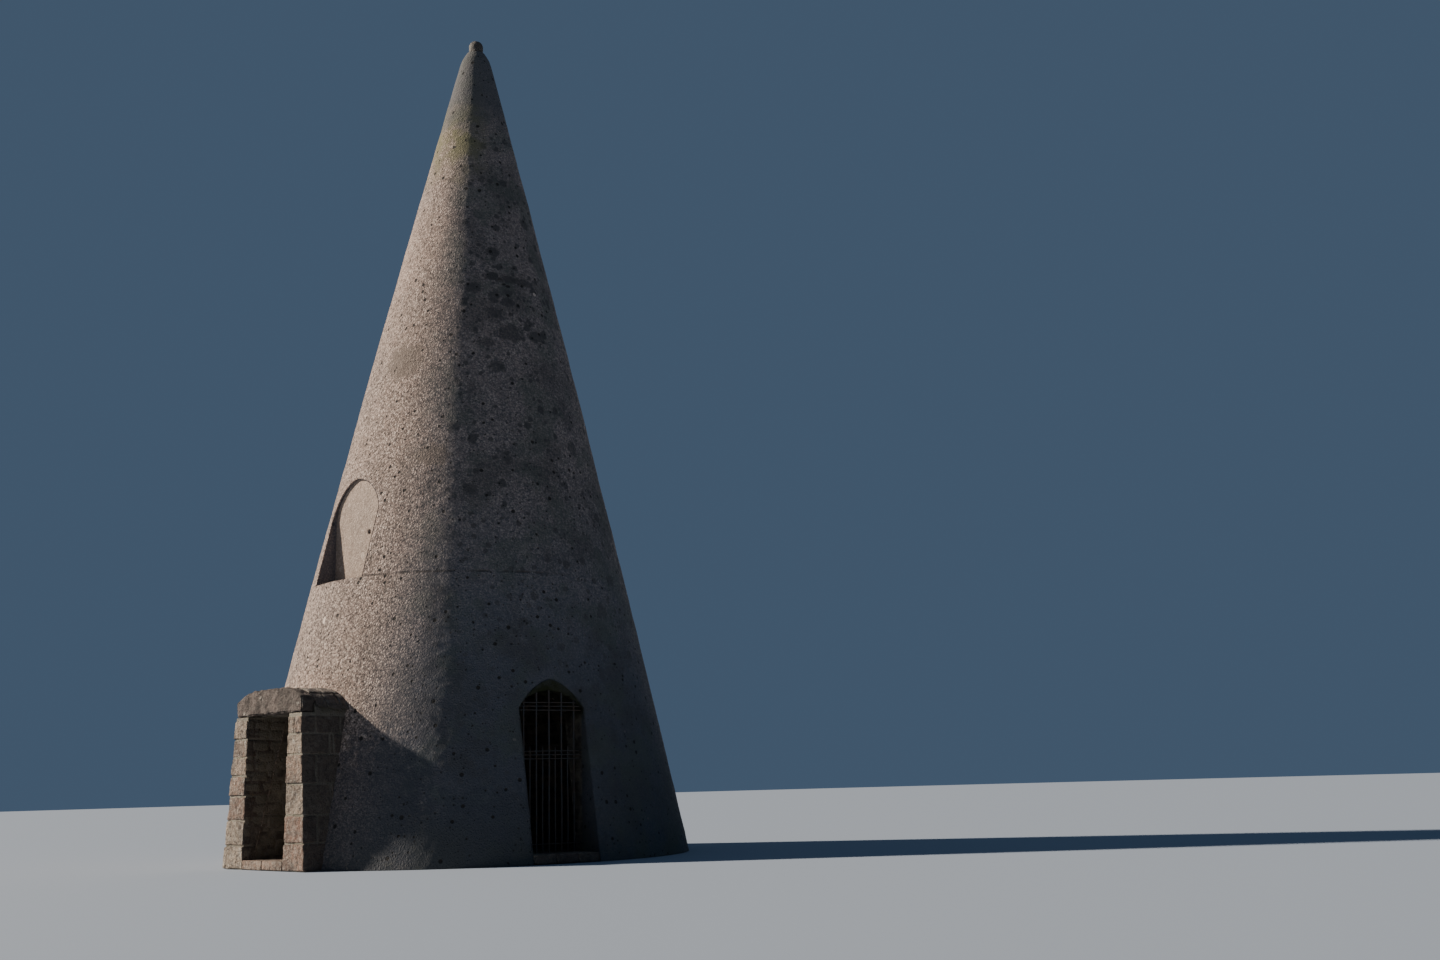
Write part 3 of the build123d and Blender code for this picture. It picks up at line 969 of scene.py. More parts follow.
@dataclass(frozen=True)
class IronFinish:
    """Dull wrought iron, dark with a thin brown rust."""

    effects: Effects
    metal: Colour = (0.06, 0.06, 0.062)
    rust: Colour = (0.078, 0.056, 0.044)
    bright: Colour = (0.13, 0.128, 0.125)
    relief: float = 0.0012
    rust_cloud: Cloud = Cloud(12.0, 6.0, 0.42, 0.64, 0.65)
    rubbed: Cloud = Cloud(31.0, 4.0, 0.55, 0.7)

    def material(self) -> Material:
        """Build the material."""
        coat = Coat("rusted_wrought_iron", self.effects)
        rusty = self.rust_cloud.mask(coat)
        colour = coat.lay(self.metal, (self.rust, rusty), (self.bright, self.rubbed.mask(coat), 0.35))
        coat.feed(coat.shader.inputs["Metallic"], coat.ease(rusty, 0.5, 0.05))
        hammered = coat.mottle(coat.place, 160.0, 5.0, 0.7)
        return coat.finish(colour, coat.ease(rusty, 0.55, 0.9), hammered, self.relief)


@dataclass(frozen=True)
class TowerForm:
    """Outline of the tower: a cone whose faces belly out slightly, with a wall that thins upwards."""

    base_radius: float = CAD_BOX[1][0]
    shoulder_radius: float = 0.19
    shoulder_height: float = 10.37
    entasis: float = 0.043
    base_wall: float = 0.55
    top_wall: float = 0.17
    hollow_top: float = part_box("spire_top")[0].z

    def face_radius(self, height: Array) -> Array:
        """Radius of the outer face: a straight taper plus the entasis, fullest halfway up."""
        share = height / self.shoulder_height
        taper = self.base_radius + (self.shoulder_radius - self.base_radius) * share
        return taper + 4.0 * self.entasis * share * (1.0 - share)

    def hollow_radius(self, height: Array) -> Array:
        """Radius of the hollow: the outer face less a wall that thins evenly."""
        thinned = (self.base_wall - self.top_wall) * height / self.hollow_top
        return self.face_radius(height) - self.base_wall + thinned

    def surface(self, angle: Array, height: Array) -> Array:
        """Places on the outer face."""
        return about_axis(self.face_radius(height), angle, height)


@dataclass(frozen=True)
class Relief:
    """Uneven face of the thrown render, as a depth under the true face."""

    clearance: float = 0.0006
    swell: float = 0.0034
    lumps: float = 0.0027
    stones: float = 0.0016
    middle: float = 0.66
    groove: float = 0.0035
    groove_width: float = 0.008
    lines: Series = (3.178,)
    calm_from: float = 9.2
    calmed: float = 0.6

    def depth(self, points: Array) -> Array:
        """Depth of the face: wide swells, lumps and single stones, and a groove at each lift line.

        The three noises add up round a middle depth of two thirds of their reach, and fade to
        two fifths towards the point. Each groove follows the bell curve of the height over its
        width, times a noise that breaks it up.

        Args:
            points: Places on the true face.

        Returns:
            Depth in metres for each place, never under the clearance.
        """
        total = self.swell * noise(points, 1.1, 2, 11) + self.lumps * noise(points, 0.24, 3, 23)
        total += self.stones * noise(points, 0.055, 2, 37)
        total += self.middle * (self.swell + self.lumps + self.stones)
        total *= 1.0 - self.calmed * smooth_step(points[..., 2], self.calm_from, self.calm_from + 1.0)
        broken = smooth_step(noise(points, 0.3, 2, 41), -0.3, 0.6)
        for line in self.lines:
            total += self.groove * broken * bell(points[..., 2] - line, self.groove_width)
        return self.clearance + np.maximum(total, 0.0)


@dataclass(frozen=True)
class Rubble:
    """Coursed rubble: stones of uneven length in wavering courses, with sunk joints."""

    course: float = 0.135
    length: float = 0.25
    joint: float = 0.02
    depth: float = 0.02
    proud: float = 0.008
    waver: float = 0.28
    drift: float = 0.22
    seed: int = 5

    def lay(self, along: Array, up: Array) -> tuple[Array, Array, Array]:
        """Lay stones over a surface.

        A point's course is its height over the course height, moved by a slow noise. Its stone
        is its place along the course over the stone length, moved by a random number for the
        course. The distance to the nearest edge of that stone sinks the joint.

        Args:
            along: Distance along the courses.
            up: Height.

        Returns:
            Depth in metres, tone from 0 to 1, and how much of a joint each place is.
        """
        flat = flat_places(along, up)
        level = up / self.course + self.waver * noise(flat, 0.7, 2, self.seed)
        row = np.floor(level)
        still = np.zeros_like(row)
        offset = hashed(np.stack([row, still, still], axis=-1), self.seed)
        place = along / (self.length * (0.7 + 0.6 * offset)) + 7.0 * offset
        place = place + self.drift * noise(flat, 0.35, 1, self.seed + 1)
        stone = np.floor(place)
        tone = hashed(np.stack([row, stone, still + 1.0], axis=-1), self.seed)
        rise = np.minimum(level - row, 1.0 - level + row) * self.course
        reach = np.minimum(place - stone, 1.0 - place + stone) * self.length
        edge = np.minimum(rise, reach)
        sunk = 1.0 - smooth_step(edge, 0.25 * self.joint, self.joint)
        depth = self.depth * sunk + self.proud * tone * (1.0 - sunk)
        return depth, tone, smooth_step(sunk, 0.35, 0.9)


class Edges(NamedTuple):
    """An opening's edges: each row's level, half width on the face and inside, and height inside."""

    cut: "Opening"
    level: Array
    face: Array
    lining: Array
    height: Array

    @property
    def crown(self) -> int:
        """Row of the crown, or the number of rows where the opening stays open."""
        return int(np.count_nonzero(self.face))


@dataclass(frozen=True)
class Opening:
    """Arched opening cut straight into the tower along one azimuth.

    Its outline runs up both jambs to the springing line, then along two shallow arcs to the
    crown. A splayed head rises to a higher crown between its inner and outer planes, which lie
    at distances from the tower's axis. Bare rubble shows over none, the inner half or all of the
    reveal where bare is 0, 1 or 2, and the reveal's render takes a bluish painted shade by its
    given share.
    """

    azimuth: float
    half_width: float
    foot: float
    spring: float
    crown: float
    bulge: float
    splay_crown: float = 0.0
    splay_bulge: float = 0.0
    splay_inner: float = 0.0
    splay_outer: float = 0.0
    moss: float = 0.0
    bare: float = 1.0
    # Share of bluish painted shade on the reveal's render.
    painted_reveal_shade: float = 0.0
    samples: int = 160
    first_share: float = 0.7
    splay_rounds: int = 30
    jamb_step: float = 0.008
    flush: float = 1e-6

    @property
    def splayed(self) -> bool:
        """Whether the head opens upwards to the face."""
        return self.splay_crown > 0.0

    @property
    def axes(self) -> tuple[Array, Array]:
        """Unit vectors outwards and along the wall, to the right of someone facing out."""
        x, y, _ = heading(self.azimuth)
        return np.array([x, y, 0.0]), np.array([-y, x, 0.0])

    def placed(self, out: Array, side: Array, height: Array) -> Array:
        """Places at a distance out along the azimuth, an offset to the side and a height."""
        outward, along = self.axes
        points = outward * out[..., None] + along * side[..., None]
        points[..., 2] += height
        return points

    def arc(self, crown: float, bulge: float) -> Array:
        """One arc of the head.

        The circle goes through the springing and the crown, and its radius is the half chord
        squared plus the bulge squared, over twice the bulge.

        Args:
            crown: Height of the crown.
            bulge: How far the arc stands off its chord.

        Returns:
            Distance from the middle and height of each sample, springing first.
        """
        start = np.array([self.half_width, self.spring])
        chord = np.array([0.0, crown]) - start
        length = float(np.hypot(*chord))
        radius = (length**2 / 4.0 + bulge**2) / (2.0 * bulge)
        normal = np.array([chord[1], -chord[0]]) / length
        centre = start + chord / 2.0 + normal * (bulge - radius)
        reach = math.asin(length / 2.0 / radius)
        angle = np.linspace(-reach, reach, self.samples)[:, None]
        return centre + radius * (normal * np.cos(angle) + chord / length * np.sin(angle))

    def heads(self, form: TowerForm) -> tuple[Array, Array]:
        """The head's arc where it meets the outer face, and inside.

        Each point of a splayed head lies between its inner and outer arcs by the share at which
        its distance out equals the face's, found by going halfway to the result thirty times.
        """
        inner = self.arc(self.crown, self.bulge)
        if not self.splayed:
            return inner, inner
        outer = self.arc(self.splay_crown, self.splay_bulge)
        share = np.full(self.samples, self.first_share)
        for _ in range(self.splay_rounds):
            point = inner + (outer - inner) * share[:, None]
            out = np.sqrt(form.face_radius(point[:, 1]) ** 2 - point[:, 0] ** 2)
            share = 0.5 * share + 0.5 * (out - self.splay_inner) / (self.splay_outer - self.splay_inner)
        return inner + (outer - inner) * share[:, None], inner

    def edges(self, levels: Array, top: float, form: TowerForm) -> Edges:
        """Edges of the opening at each row of the outer face.

        Args:
            levels: Heights of the rows.
            top: Top of the lift.
            form: Outline of the tower.

        Returns:
            The edges, with no width from the crown up.
        """
        face, inner = self.heads(form)
        share = np.linspace(0.0, 1.0, self.samples)
        at = np.interp(levels, face[:, 1], share)
        outside = np.interp(levels, face[:, 1], face[:, 0])
        inside = np.interp(at, share, inner[:, 0])
        crown = face[-1, 1]
        fade = np.clip((top - levels) / (top - crown), 0.0, 1.0) if top > crown else np.ones_like(levels)
        lowered = levels + (inner[-1, 1] - crown) * fade
        height = np.where(levels >= crown, lowered, np.interp(at, share, inner[:, 1]))
        height = np.where(levels <= self.spring, levels, height)
        open_share = levels < crown - self.flush
        return Edges(self, levels, outside * open_share, inside * open_share, height)

    def rows(self, form: TowerForm, count: int) -> Array:
        """Heights of evenly spaced points of the head on the outer face."""
        face, _ = self.heads(form)
        share = np.linspace(0.0, 1.0, self.samples)
        return np.interp(np.linspace(0.0, 1.0, count), share, face[:, 1])

    def nearness(self, points: Array, form: TowerForm, reach: float) -> Array:
        """Distance of places on the face from the opening's outline, up to a reach."""
        outward, along = self.axes
        face, _ = self.heads(form)
        jamb = np.arange(self.foot, self.spring, self.jamb_step)
        upright = np.stack([np.full_like(jamb, self.half_width), jamb], axis=1)
        outline = np.concatenate([upright, face])
        flat = points.reshape(-1, 3)
        side = np.abs(flat @ along)
        away = np.full(len(flat), reach)
        near = (flat @ outward > 0.0) & (side < self.half_width + reach)
        near &= (flat[:, 2] > self.foot - reach) & (flat[:, 2] < face[-1, 1] + reach)
        spans = np.stack([side[near], flat[near, 2]], axis=1)[:, None, :] - outline[None, :, :]
        away[near] = np.minimum(reach, np.sqrt((spans**2).sum(axis=2)).min(axis=1))
        return away.reshape(points.shape[:-1])


@dataclass
class WallLift:
    """One lift of the tower's wall, with its openings, reveals and rubble lining."""

    name: str
    low: float
    high: float
    form: TowerForm
    openings: tuple[Opening, ...] = ()
    relief: Relief = Relief()
    rubble: Rubble = Rubble()
    step: float = 0.026
    lining_step: int = 4
    fine: Series = (0.0, 0.006, 0.014, 0.026)
    beside_line: Series = (-0.026, -0.012, 0.012, 0.026)
    arch_rows: int = 26
    least_rise: float = 0.005
    arris: float = 0.011
    arris_width: float = 0.012
    arris_reach: float = 0.08
    falloff: float = 1.5
    reveal_steps: int = 22
    reveal_fine: Series = (0.0, 0.012, 0.03, 0.055)
    reveal_relief: float = 0.006
    rubble_blend: float = 0.02
    edge_fade: float = 0.05
    moss_below: float = 0.25
    moss_above: float = 0.05

    @property
    def middle_radius(self) -> float:
        """Radius of the outer face halfway up the lift."""
        return float(self.form.face_radius((self.low + self.high) / 2.0))

    def levels(self) -> Array:
        """Heights of the rows: even ones, the points of each arch, and fine ones at lift lines."""
        kept = [self.low, self.high]
        for cut in self.openings:
            kept += [z for z in (cut.spring, cut.rows(self.form, 2)[-1]) if self.low < z < self.high]
        extra = [line + step for line in self.relief.lines for step in self.beside_line]
        arches = [cut.rows(self.form, self.arch_rows) for cut in self.openings]
        even = np.linspace(self.low, self.high, int(round((self.high - self.low) / self.step)) + 1)
        for level in np.concatenate([extra, *arches, even]):
            if self.low < level < self.high and min(abs(level - k) for k in kept) > self.least_rise:
                kept.append(float(level))
        return np.array(sorted(kept))

    def outer(self, angle: Array, height: Array) -> Array:
        """Places on the rough outer face: the true ones moved in by the relief and worn arrises."""
        true = self.form.surface(angle, height)
        depth = self.relief.depth(true)
        for cut in self.openings:
            away = cut.nearness(true, self.form, self.arris_reach)
            worn = self.arris * (1.0 + 0.5 * noise(true, 0.09, 2, 53))
            depth = depth + worn * bell(away, self.arris_width)
        return about_axis(self.form.face_radius(height) - depth, angle, height)

    def lined(self, angle: Array, height: Array) -> tuple[Array, dict[str, Array]]:
        """Places on the rubble lining, and their marks: stones laid over angle and height."""
        radius = self.form.hollow_radius(height)
        depth, tone, joint = self.rubble.lay(angle * radius, height)
        points = about_axis(radius + depth, angle, height)
        return points, {"lining": np.ones_like(tone), "tone": tone, "joint": joint}

    def build(self) -> Piece:
        """Build the lift as one closed shell."""
        shell = Shell(WALL_MARKS)
        if self.openings:
            self.build_cut(shell)
        else:
            self.build_whole(shell)
        return shell.finish(self.name)

    def build_whole(self, shell: Shell) -> None:
        """Add a lift without openings."""
        levels = self.levels()
        turn = full_turn(int(2.0 * math.pi * self.middle_radius / self.step))
        height, angle = np.meshgrid(levels, turn, indexing="ij")
        face = shell.add(self.outer(angle, height))
        inner_levels = np.append(levels[:-1:self.lining_step], levels[-1])
        height, angle = np.meshgrid(inner_levels, turn, indexing="ij")
        points, marks = self.lined(angle, height)
        lining = shell.add(points, **marks)
        face = shell.wrap(face)
        lining = shell.wrap(lining)
        for row in (0, -1):
            shell.skin(np.stack([face[row], lining[row]]))

    def build_cut(self, shell: Shell) -> None:
        """Add a lift as sectors between its openings, joined above each crown."""
        levels = self.levels()
        cuts = sorted(self.openings, key=lambda cut: cut.azimuth)
        edges = [cut.edges(levels, self.high, self.form) for cut in cuts]
        sectors = [self.add_sector(shell, *pair) for pair in zip(edges, edges[1:] + edges[:1])]
        for i, edge in enumerate(edges):
            for grid, before in zip(sectors[i], sectors[i - 1]):
                grid[edge.crown:, 0] = before[edge.crown:, -1]
        reveals = []
        for i, edge in enumerate(edges):
            borders = ([grid[:, -1] for grid in sectors[i - 1]], [grid[:, 0] for grid in sectors[i]])
            reveals.append(self.add_reveal(shell, edge, borders))
        for i, (face, lining) in enumerate(sectors):
            shell.skin(face)
            shell.skin(lining[:, ::-1])
            ends = (reveals[i][1], reveals[(i + 1) % len(edges)][0])
            for row in (0, len(levels) - 1):
                self.add_end(shell, face[row], lining[row], ends, row)

    def add_sector(self, shell: Shell, left: Edges, right: Edges) -> tuple[Array, Array]:
        """Add the wall from one opening to the next.

        A column's angle is its even place between the jambs, plus what each edge has moved at
        that row, which fades away along the wall. Rows of the lining bend to the inner arch in
        the same way.

        Args:
            shell: The mesh.
            left: Edges of the opening that it starts from.
            right: Edges of the opening that it ends at.

        Returns:
            Point numbers of the outer face and of the lining.
        """
        levels = left.level
        past = 360.0 * (right.cut.azimuth <= left.cut.azimuth)
        pair = (math.radians(left.cut.azimuth), math.radians(right.cut.azimuth + past))
        middle = self.middle_radius
        start = pair[0] + math.asin(left.cut.half_width / middle)
        end = pair[1] - math.asin(right.cut.half_width / middle)
        place = graded((end - start) * middle, self.step, self.fine)
        near = np.clip(1.0 - place / self.falloff, 0.0, 1.0)[None, :]
        far = np.clip(1.0 - (place[-1] - place) / self.falloff, 0.0, 1.0)[None, :]
        even = (start + place / middle)[None, :]
        radius = self.form.face_radius(levels)

        def spread(first: Array, second: Array) -> Array:
            """Angle of each place, from the angle that each edge lies off its azimuth at each row."""
            moved = (pair[0] + first - start)[:, None] * near
            return even + moved + (pair[1] - second - end)[:, None] * far

        height = np.broadcast_to(levels[:, None], (len(levels), len(place)))
        angle = spread(*[np.arcsin(edge.face / radius) for edge in (left, right)])
        face = shell.add(self.outer(angle, height))
        inner = [np.arcsin(edge.lining / self.form.hollow_radius(edge.height)) for edge in (left, right)]
        bend = [(edge.height - levels)[:, None] for edge in (left, right)]
        points, marks = self.lined(spread(*inner), height + bend[0] * near + bend[1] * far)
        return face, shell.add(points, **marks)

    def add_reveal(
        self, shell: Shell, edges: Edges, borders: tuple[Sequence[Array], ...]
    ) -> tuple[Array, Array]:
        """Add both sides of an opening's reveal, from the outer face to the lining.

        A place lies at a share of the way in. Its offset from the middle and its height blend
        from the outer outline to the inner one over the splay. It is moved into the masonry,
        square to the outline, by the render's relief outside and by the rubble's inside.

        Args:
            shell: The mesh.
            edges: The opening's edges.
            borders: Point numbers of the face's and the lining's edge, left and right of it.

        Returns:
            Point numbers of the left and the right side, row by row, from the outside in.
        """
        cut = edges.cut
        closed = edges.crown < len(edges.level)
        rows = slice(0, edges.crown + closed)
        levels, side, inner_side, inner_height = (values[rows] for values in edges[1:])
        out = np.sqrt(self.form.face_radius(levels) ** 2 - side**2)
        back = np.sqrt(self.form.hollow_radius(inner_height) ** 2 - inner_side**2)
        share = graded(1.0, 1.0 / self.reveal_steps, self.reveal_fine)[None, 1:-1]
        depth = out[:, None] + (back - out)[:, None] * share
        middle = cut.splay_inner if cut.splayed else float((out.mean() + back.mean()) / 2.0)
        blend = np.clip((depth - middle) / (out[:, None] - middle), 0.0, 1.0)
        across = inner_side[:, None] + (side - inner_side)[:, None] * blend
        height = inner_height[:, None] + (levels - inner_height)[:, None] * blend
        slope = unit_vectors(np.stack([np.gradient(levels), -np.gradient(side)], axis=-1))
        run = np.concatenate([[0.0], np.cumsum(np.hypot(np.diff(side), np.diff(levels)))])
        flank = np.broadcast_to(run[:, None], depth.shape)
        sunk, tone, joint = self.rubble.lay(depth, flank)
        past = smooth_step(middle - depth, -self.rubble_blend, self.rubble_blend)
        inside = np.clip(past + cut.bare - 1.0, 0.0, 1.0)
        spots = np.stack([across, depth, height], axis=-1)
        rough = self.reveal_relief * (1.0 + noise(spots, 0.12, 3, 61))
        fade = smooth_step(np.minimum(share, 1.0 - share), 0.0, self.edge_fade)
        sunk = (rough * (1.0 - inside) + sunk * inside) * fade
        moss = smooth_step(height, cut.spring - self.moss_below, cut.spring + self.moss_above) * cut.moss
        # The reveal's render takes painted shade by the opening's given share.
        marks = {"lining": inside, "tone": tone, "joint": joint, "moss": moss, "painted_reveal_shade": cut.painted_reveal_shade}
        sides = []
        for sign, (border, inner_border) in zip((-1.0, 1.0), borders):
            offset = sign * (across + sunk * slope[:, :1])
            index = shell.add(cut.placed(depth, offset, height + sunk * slope[:, 1:]), **marks)
            if closed and sides:
                index[-1] = sides[0][-1, 1:-1]
            strip = np.concatenate([border[rows, None], index, inner_border[rows, None]], axis=1)
            shell.skin(strip if sign > 0.0 else strip[:, ::-1])
            sides.append(strip)
        return sides[0], sides[1]

    def add_end(self, shell: Shell, face: Array, lining: Array, ends: tuple[Array, Array], row: int) -> None:
        """Close a sector's bottom or top with flat faces, which take in the points of its two reveals."""
        shell.skin(np.stack([face[1:-1], lining[1:-1]]))
        first, last = (end[row, 1:-1].tolist() if row < len(end) else [] for end in ends)
        shell.polygons.append([*face[:2].tolist(), int(lining[1]), int(lining[0]), *first[::-1]])
        shell.polygons.append([*face[-2:].tolist(), *last, int(lining[-1]), int(lining[-2])])


@dataclass
class SpireTop:
    """Solid point of the tower and the small round cap on its neck."""

    form: TowerForm
    relief: Relief = Relief()
    step: float = 0.021
    sides: int = 144
    neck_radius: float = 0.125
    neck_height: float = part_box("cap_stone")[0].z
    rounding: float = 0.004
    rounding_width: float = 0.045
    cap_radius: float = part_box("cap_stone")[1].x
    cap_top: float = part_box("cap_stone")[1].z
    cap_rows: int = 40
    cap_sides: int = 64
    shaft_share: float = 0.35
    shaft_rise: float = 0.55
    shaft_taper: float = 0.06
    crown_fullness: float = 0.55
    groove: float = 0.005
    groove_height: float = 0.05
    groove_width: float = 0.012
    wear: float = 0.008
    tone: float = 0.4

    def profile_radius(self, height: Array) -> Array:
        """The face's radius, drawn in to the neck above the shoulder and rounded there."""
        above = height - self.form.shoulder_height
        share = above / (self.neck_height - self.form.shoulder_height)
        neck = self.form.shoulder_radius + (self.neck_radius - self.form.shoulder_radius) * share
        sharp = np.minimum(self.form.face_radius(height), neck)
        return sharp - self.rounding * bell(above, self.rounding_width)

    def build(self) -> Piece:
        """Build the solid point, closed at both ends."""
        shell = Shell(WALL_MARKS)
        low = self.form.hollow_top
        levels = np.linspace(low, self.neck_height, int((self.neck_height - low) / self.step))
        height, turn = np.meshgrid(levels, full_turn(self.sides), indexing="ij")
        radius = self.profile_radius(height)
        depth = self.relief.depth(about_axis(radius, turn, height))
        shell.close_round(shell.add(about_axis(radius - depth, turn, height)), low, self.neck_height)
        return shell.finish("spire_point")

    def build_cap(self) -> Piece:
        """Build the cap.

        Its stub tapers slightly up to the shaft's rise. Above that the height follows the sine
        and the radius a power of the cosine of one quarter turn. A groove runs round its foot.
        """
        shell = Shell(("tone",))
        share = np.linspace(0.0, 1.0, self.cap_rows)
        shaft = share < self.shaft_share
        bend = np.clip((share - self.shaft_share) / (1.0 - self.shaft_share), 0.0, 1.0) * math.pi / 2.0
        dome = self.shaft_rise + (1.0 - self.shaft_rise) * np.sin(bend)
        rise = np.where(shaft, share / self.shaft_share * self.shaft_rise, dome)
        levels = self.neck_height + (self.cap_top - self.neck_height) * rise
        dome = (1.0 - self.shaft_taper * self.shaft_share) * np.cos(bend) ** self.crown_fullness
        across = self.cap_radius * np.where(shaft, 1.0 - self.shaft_taper * share, dome)
        height, turn = np.meshgrid(levels, full_turn(self.cap_sides), indexing="ij")
        radius = np.broadcast_to(across[:, None], height.shape)
        worn = self.wear * np.maximum(1.0 + noise(about_axis(radius, turn, height), 0.11, 3, 71), 0.0)
        worn = worn * smooth_step(radius, 0.0, 0.06)
        groove = self.groove * bell(height - self.neck_height - self.groove_height, self.groove_width)
        points = about_axis(radius - 0.5 * worn - groove, turn, height)
        points[..., 2] = np.maximum(points[..., 2] - 0.3 * worn * (height > levels[1]), self.neck_height)
        face = shell.add(points[:-1], tone=self.tone)
        shell.close_round(face, self.neck_height, self.cap_top - self.wear / 2.0, tone=self.tone)
        return shell.finish("cap_stub")


@dataclass
class RecessPanel:
    """Thin rendered wall that closes the blind recess."""

    cut: Opening
    form: TowerForm
    crown_depth: float = 0.033
    lap: float = 0.006
    step: float = 0.012
    rows: int = 104
    hole_place: Span = (0.225, 3.755)
    hole_radius: float = 0.029
    hole_depth: float = 0.03
    rubble: Rubble = Rubble()

    def build(self) -> Piece:
        """Build the panel: columns from the sill to the arch, a little past the opening's edge."""
        shell = Shell(("hole",))
        plane = float(self.form.face_radius(self.cut.crown)) - self.crown_depth
        half = self.cut.half_width + self.lap
        across = np.linspace(-half, half, int(2.0 * half / self.step))
        head, _ = self.cut.heads(self.form)
        top = np.interp(np.abs(across), head[::-1, 0], head[::-1, 1]) + self.lap
        share = np.linspace(0.0, 1.0, self.rows)[:, None]
        height = self.cut.foot + (top - self.cut.foot)[None, :] * share
        side = np.broadcast_to(across[None, :], height.shape)
        flat = np.stack([side, np.full_like(side, plane), height], axis=-1)
        dent = 0.003 + 0.0035 * noise(flat, 0.3, 3, 83) + 0.0015 * noise(flat, 0.06, 2, 89)
        away = np.hypot(side - self.hole_place[0], height - self.hole_place[1])
        hole = np.exp(-((away / self.hole_radius) ** 6))
        depth = plane - np.maximum(dent, 0.0) - self.hole_depth * hole
        sunk, _, _ = self.rubble.lay(side, height)
        back = np.sqrt(self.form.hollow_radius(height) ** 2 - side**2) + sunk
        face = shell.add(self.cut.placed(depth, side, height), hole=hole)
        shell.close_slab(face, shell.add(self.cut.placed(back, side, height)))
        return shell.finish("recess_back")


@dataclass(frozen=True)
class Block:
    """Worn block of stone: a box with rounded edges, laid by a map from its unit cube."""

    place: Place
    size: tuple[float, float, float]
    tone: float
    seed: int
    step: float = 0.035
    radius: float = 0.012
    wear: float = 0.006
    fine_share: float = 0.4
    corner_wear: float = 1.2
    seed_shift: float = 3.17

    def add(self, shell: Shell) -> None:
        """Add the block.

        Lattice points on the box's surface are drawn back to a box smaller by the edge radius
        and pushed out by that radius along the line between, less a noise that never turns
        outwards and is stronger at edges and corners, then mapped.
        """
        fine = (0.0, self.fine_share * self.radius, self.radius)
        axes = [graded(length, self.step, fine) for length in self.size]
        counts = tuple(len(axis) for axis in axes)
        numbers = np.arange(int(np.prod(counts))).reshape(counts)
        sides = [numbers[0], numbers[-1, ::-1], numbers[::-1, 0], numbers[:, -1]]
        sides += [numbers[:, ::-1, 0], numbers[:, :, -1]]
        used = np.unique(np.concatenate([side.reshape(-1) for side in sides]))
        spots = np.stack([axis[i] for axis, i in zip(axes, np.unravel_index(used, counts))], axis=-1)
        size = np.array(self.size)
        core = np.clip(spots, self.radius, size - self.radius)
        away = unit_vectors(spots - core)
        rough = noise(spots + self.seed * self.seed_shift, 0.11, 3, self.seed)
        worn = self.wear * np.maximum(1.0 + rough, 0.0)
        corner = smooth_step((np.abs(away) > 0.3).sum(axis=1).astype(float), 1.0, 3.0)
        worn = worn * 0.5 * (1.0 + self.corner_wear * corner)
        spots = core + away * (self.radius - worn)[:, None]
        index = shell.add(self.place(spots / size), tone=self.tone)
        for side in sides:
            shell.skin(index[np.searchsorted(used, side)])


@dataclass(frozen=True)
class Bed:
    """Space of one block in a side wall of the porch.

    The side is -1 for the left wall and 1 for the right one, across gives shares of the wall's
    thickness from the doorway outwards, deep gives distances from the tower's axis, the nearer
    one first, and up gives heights.
    """

    side: int
    across: Span
    deep: Span
    up: Span


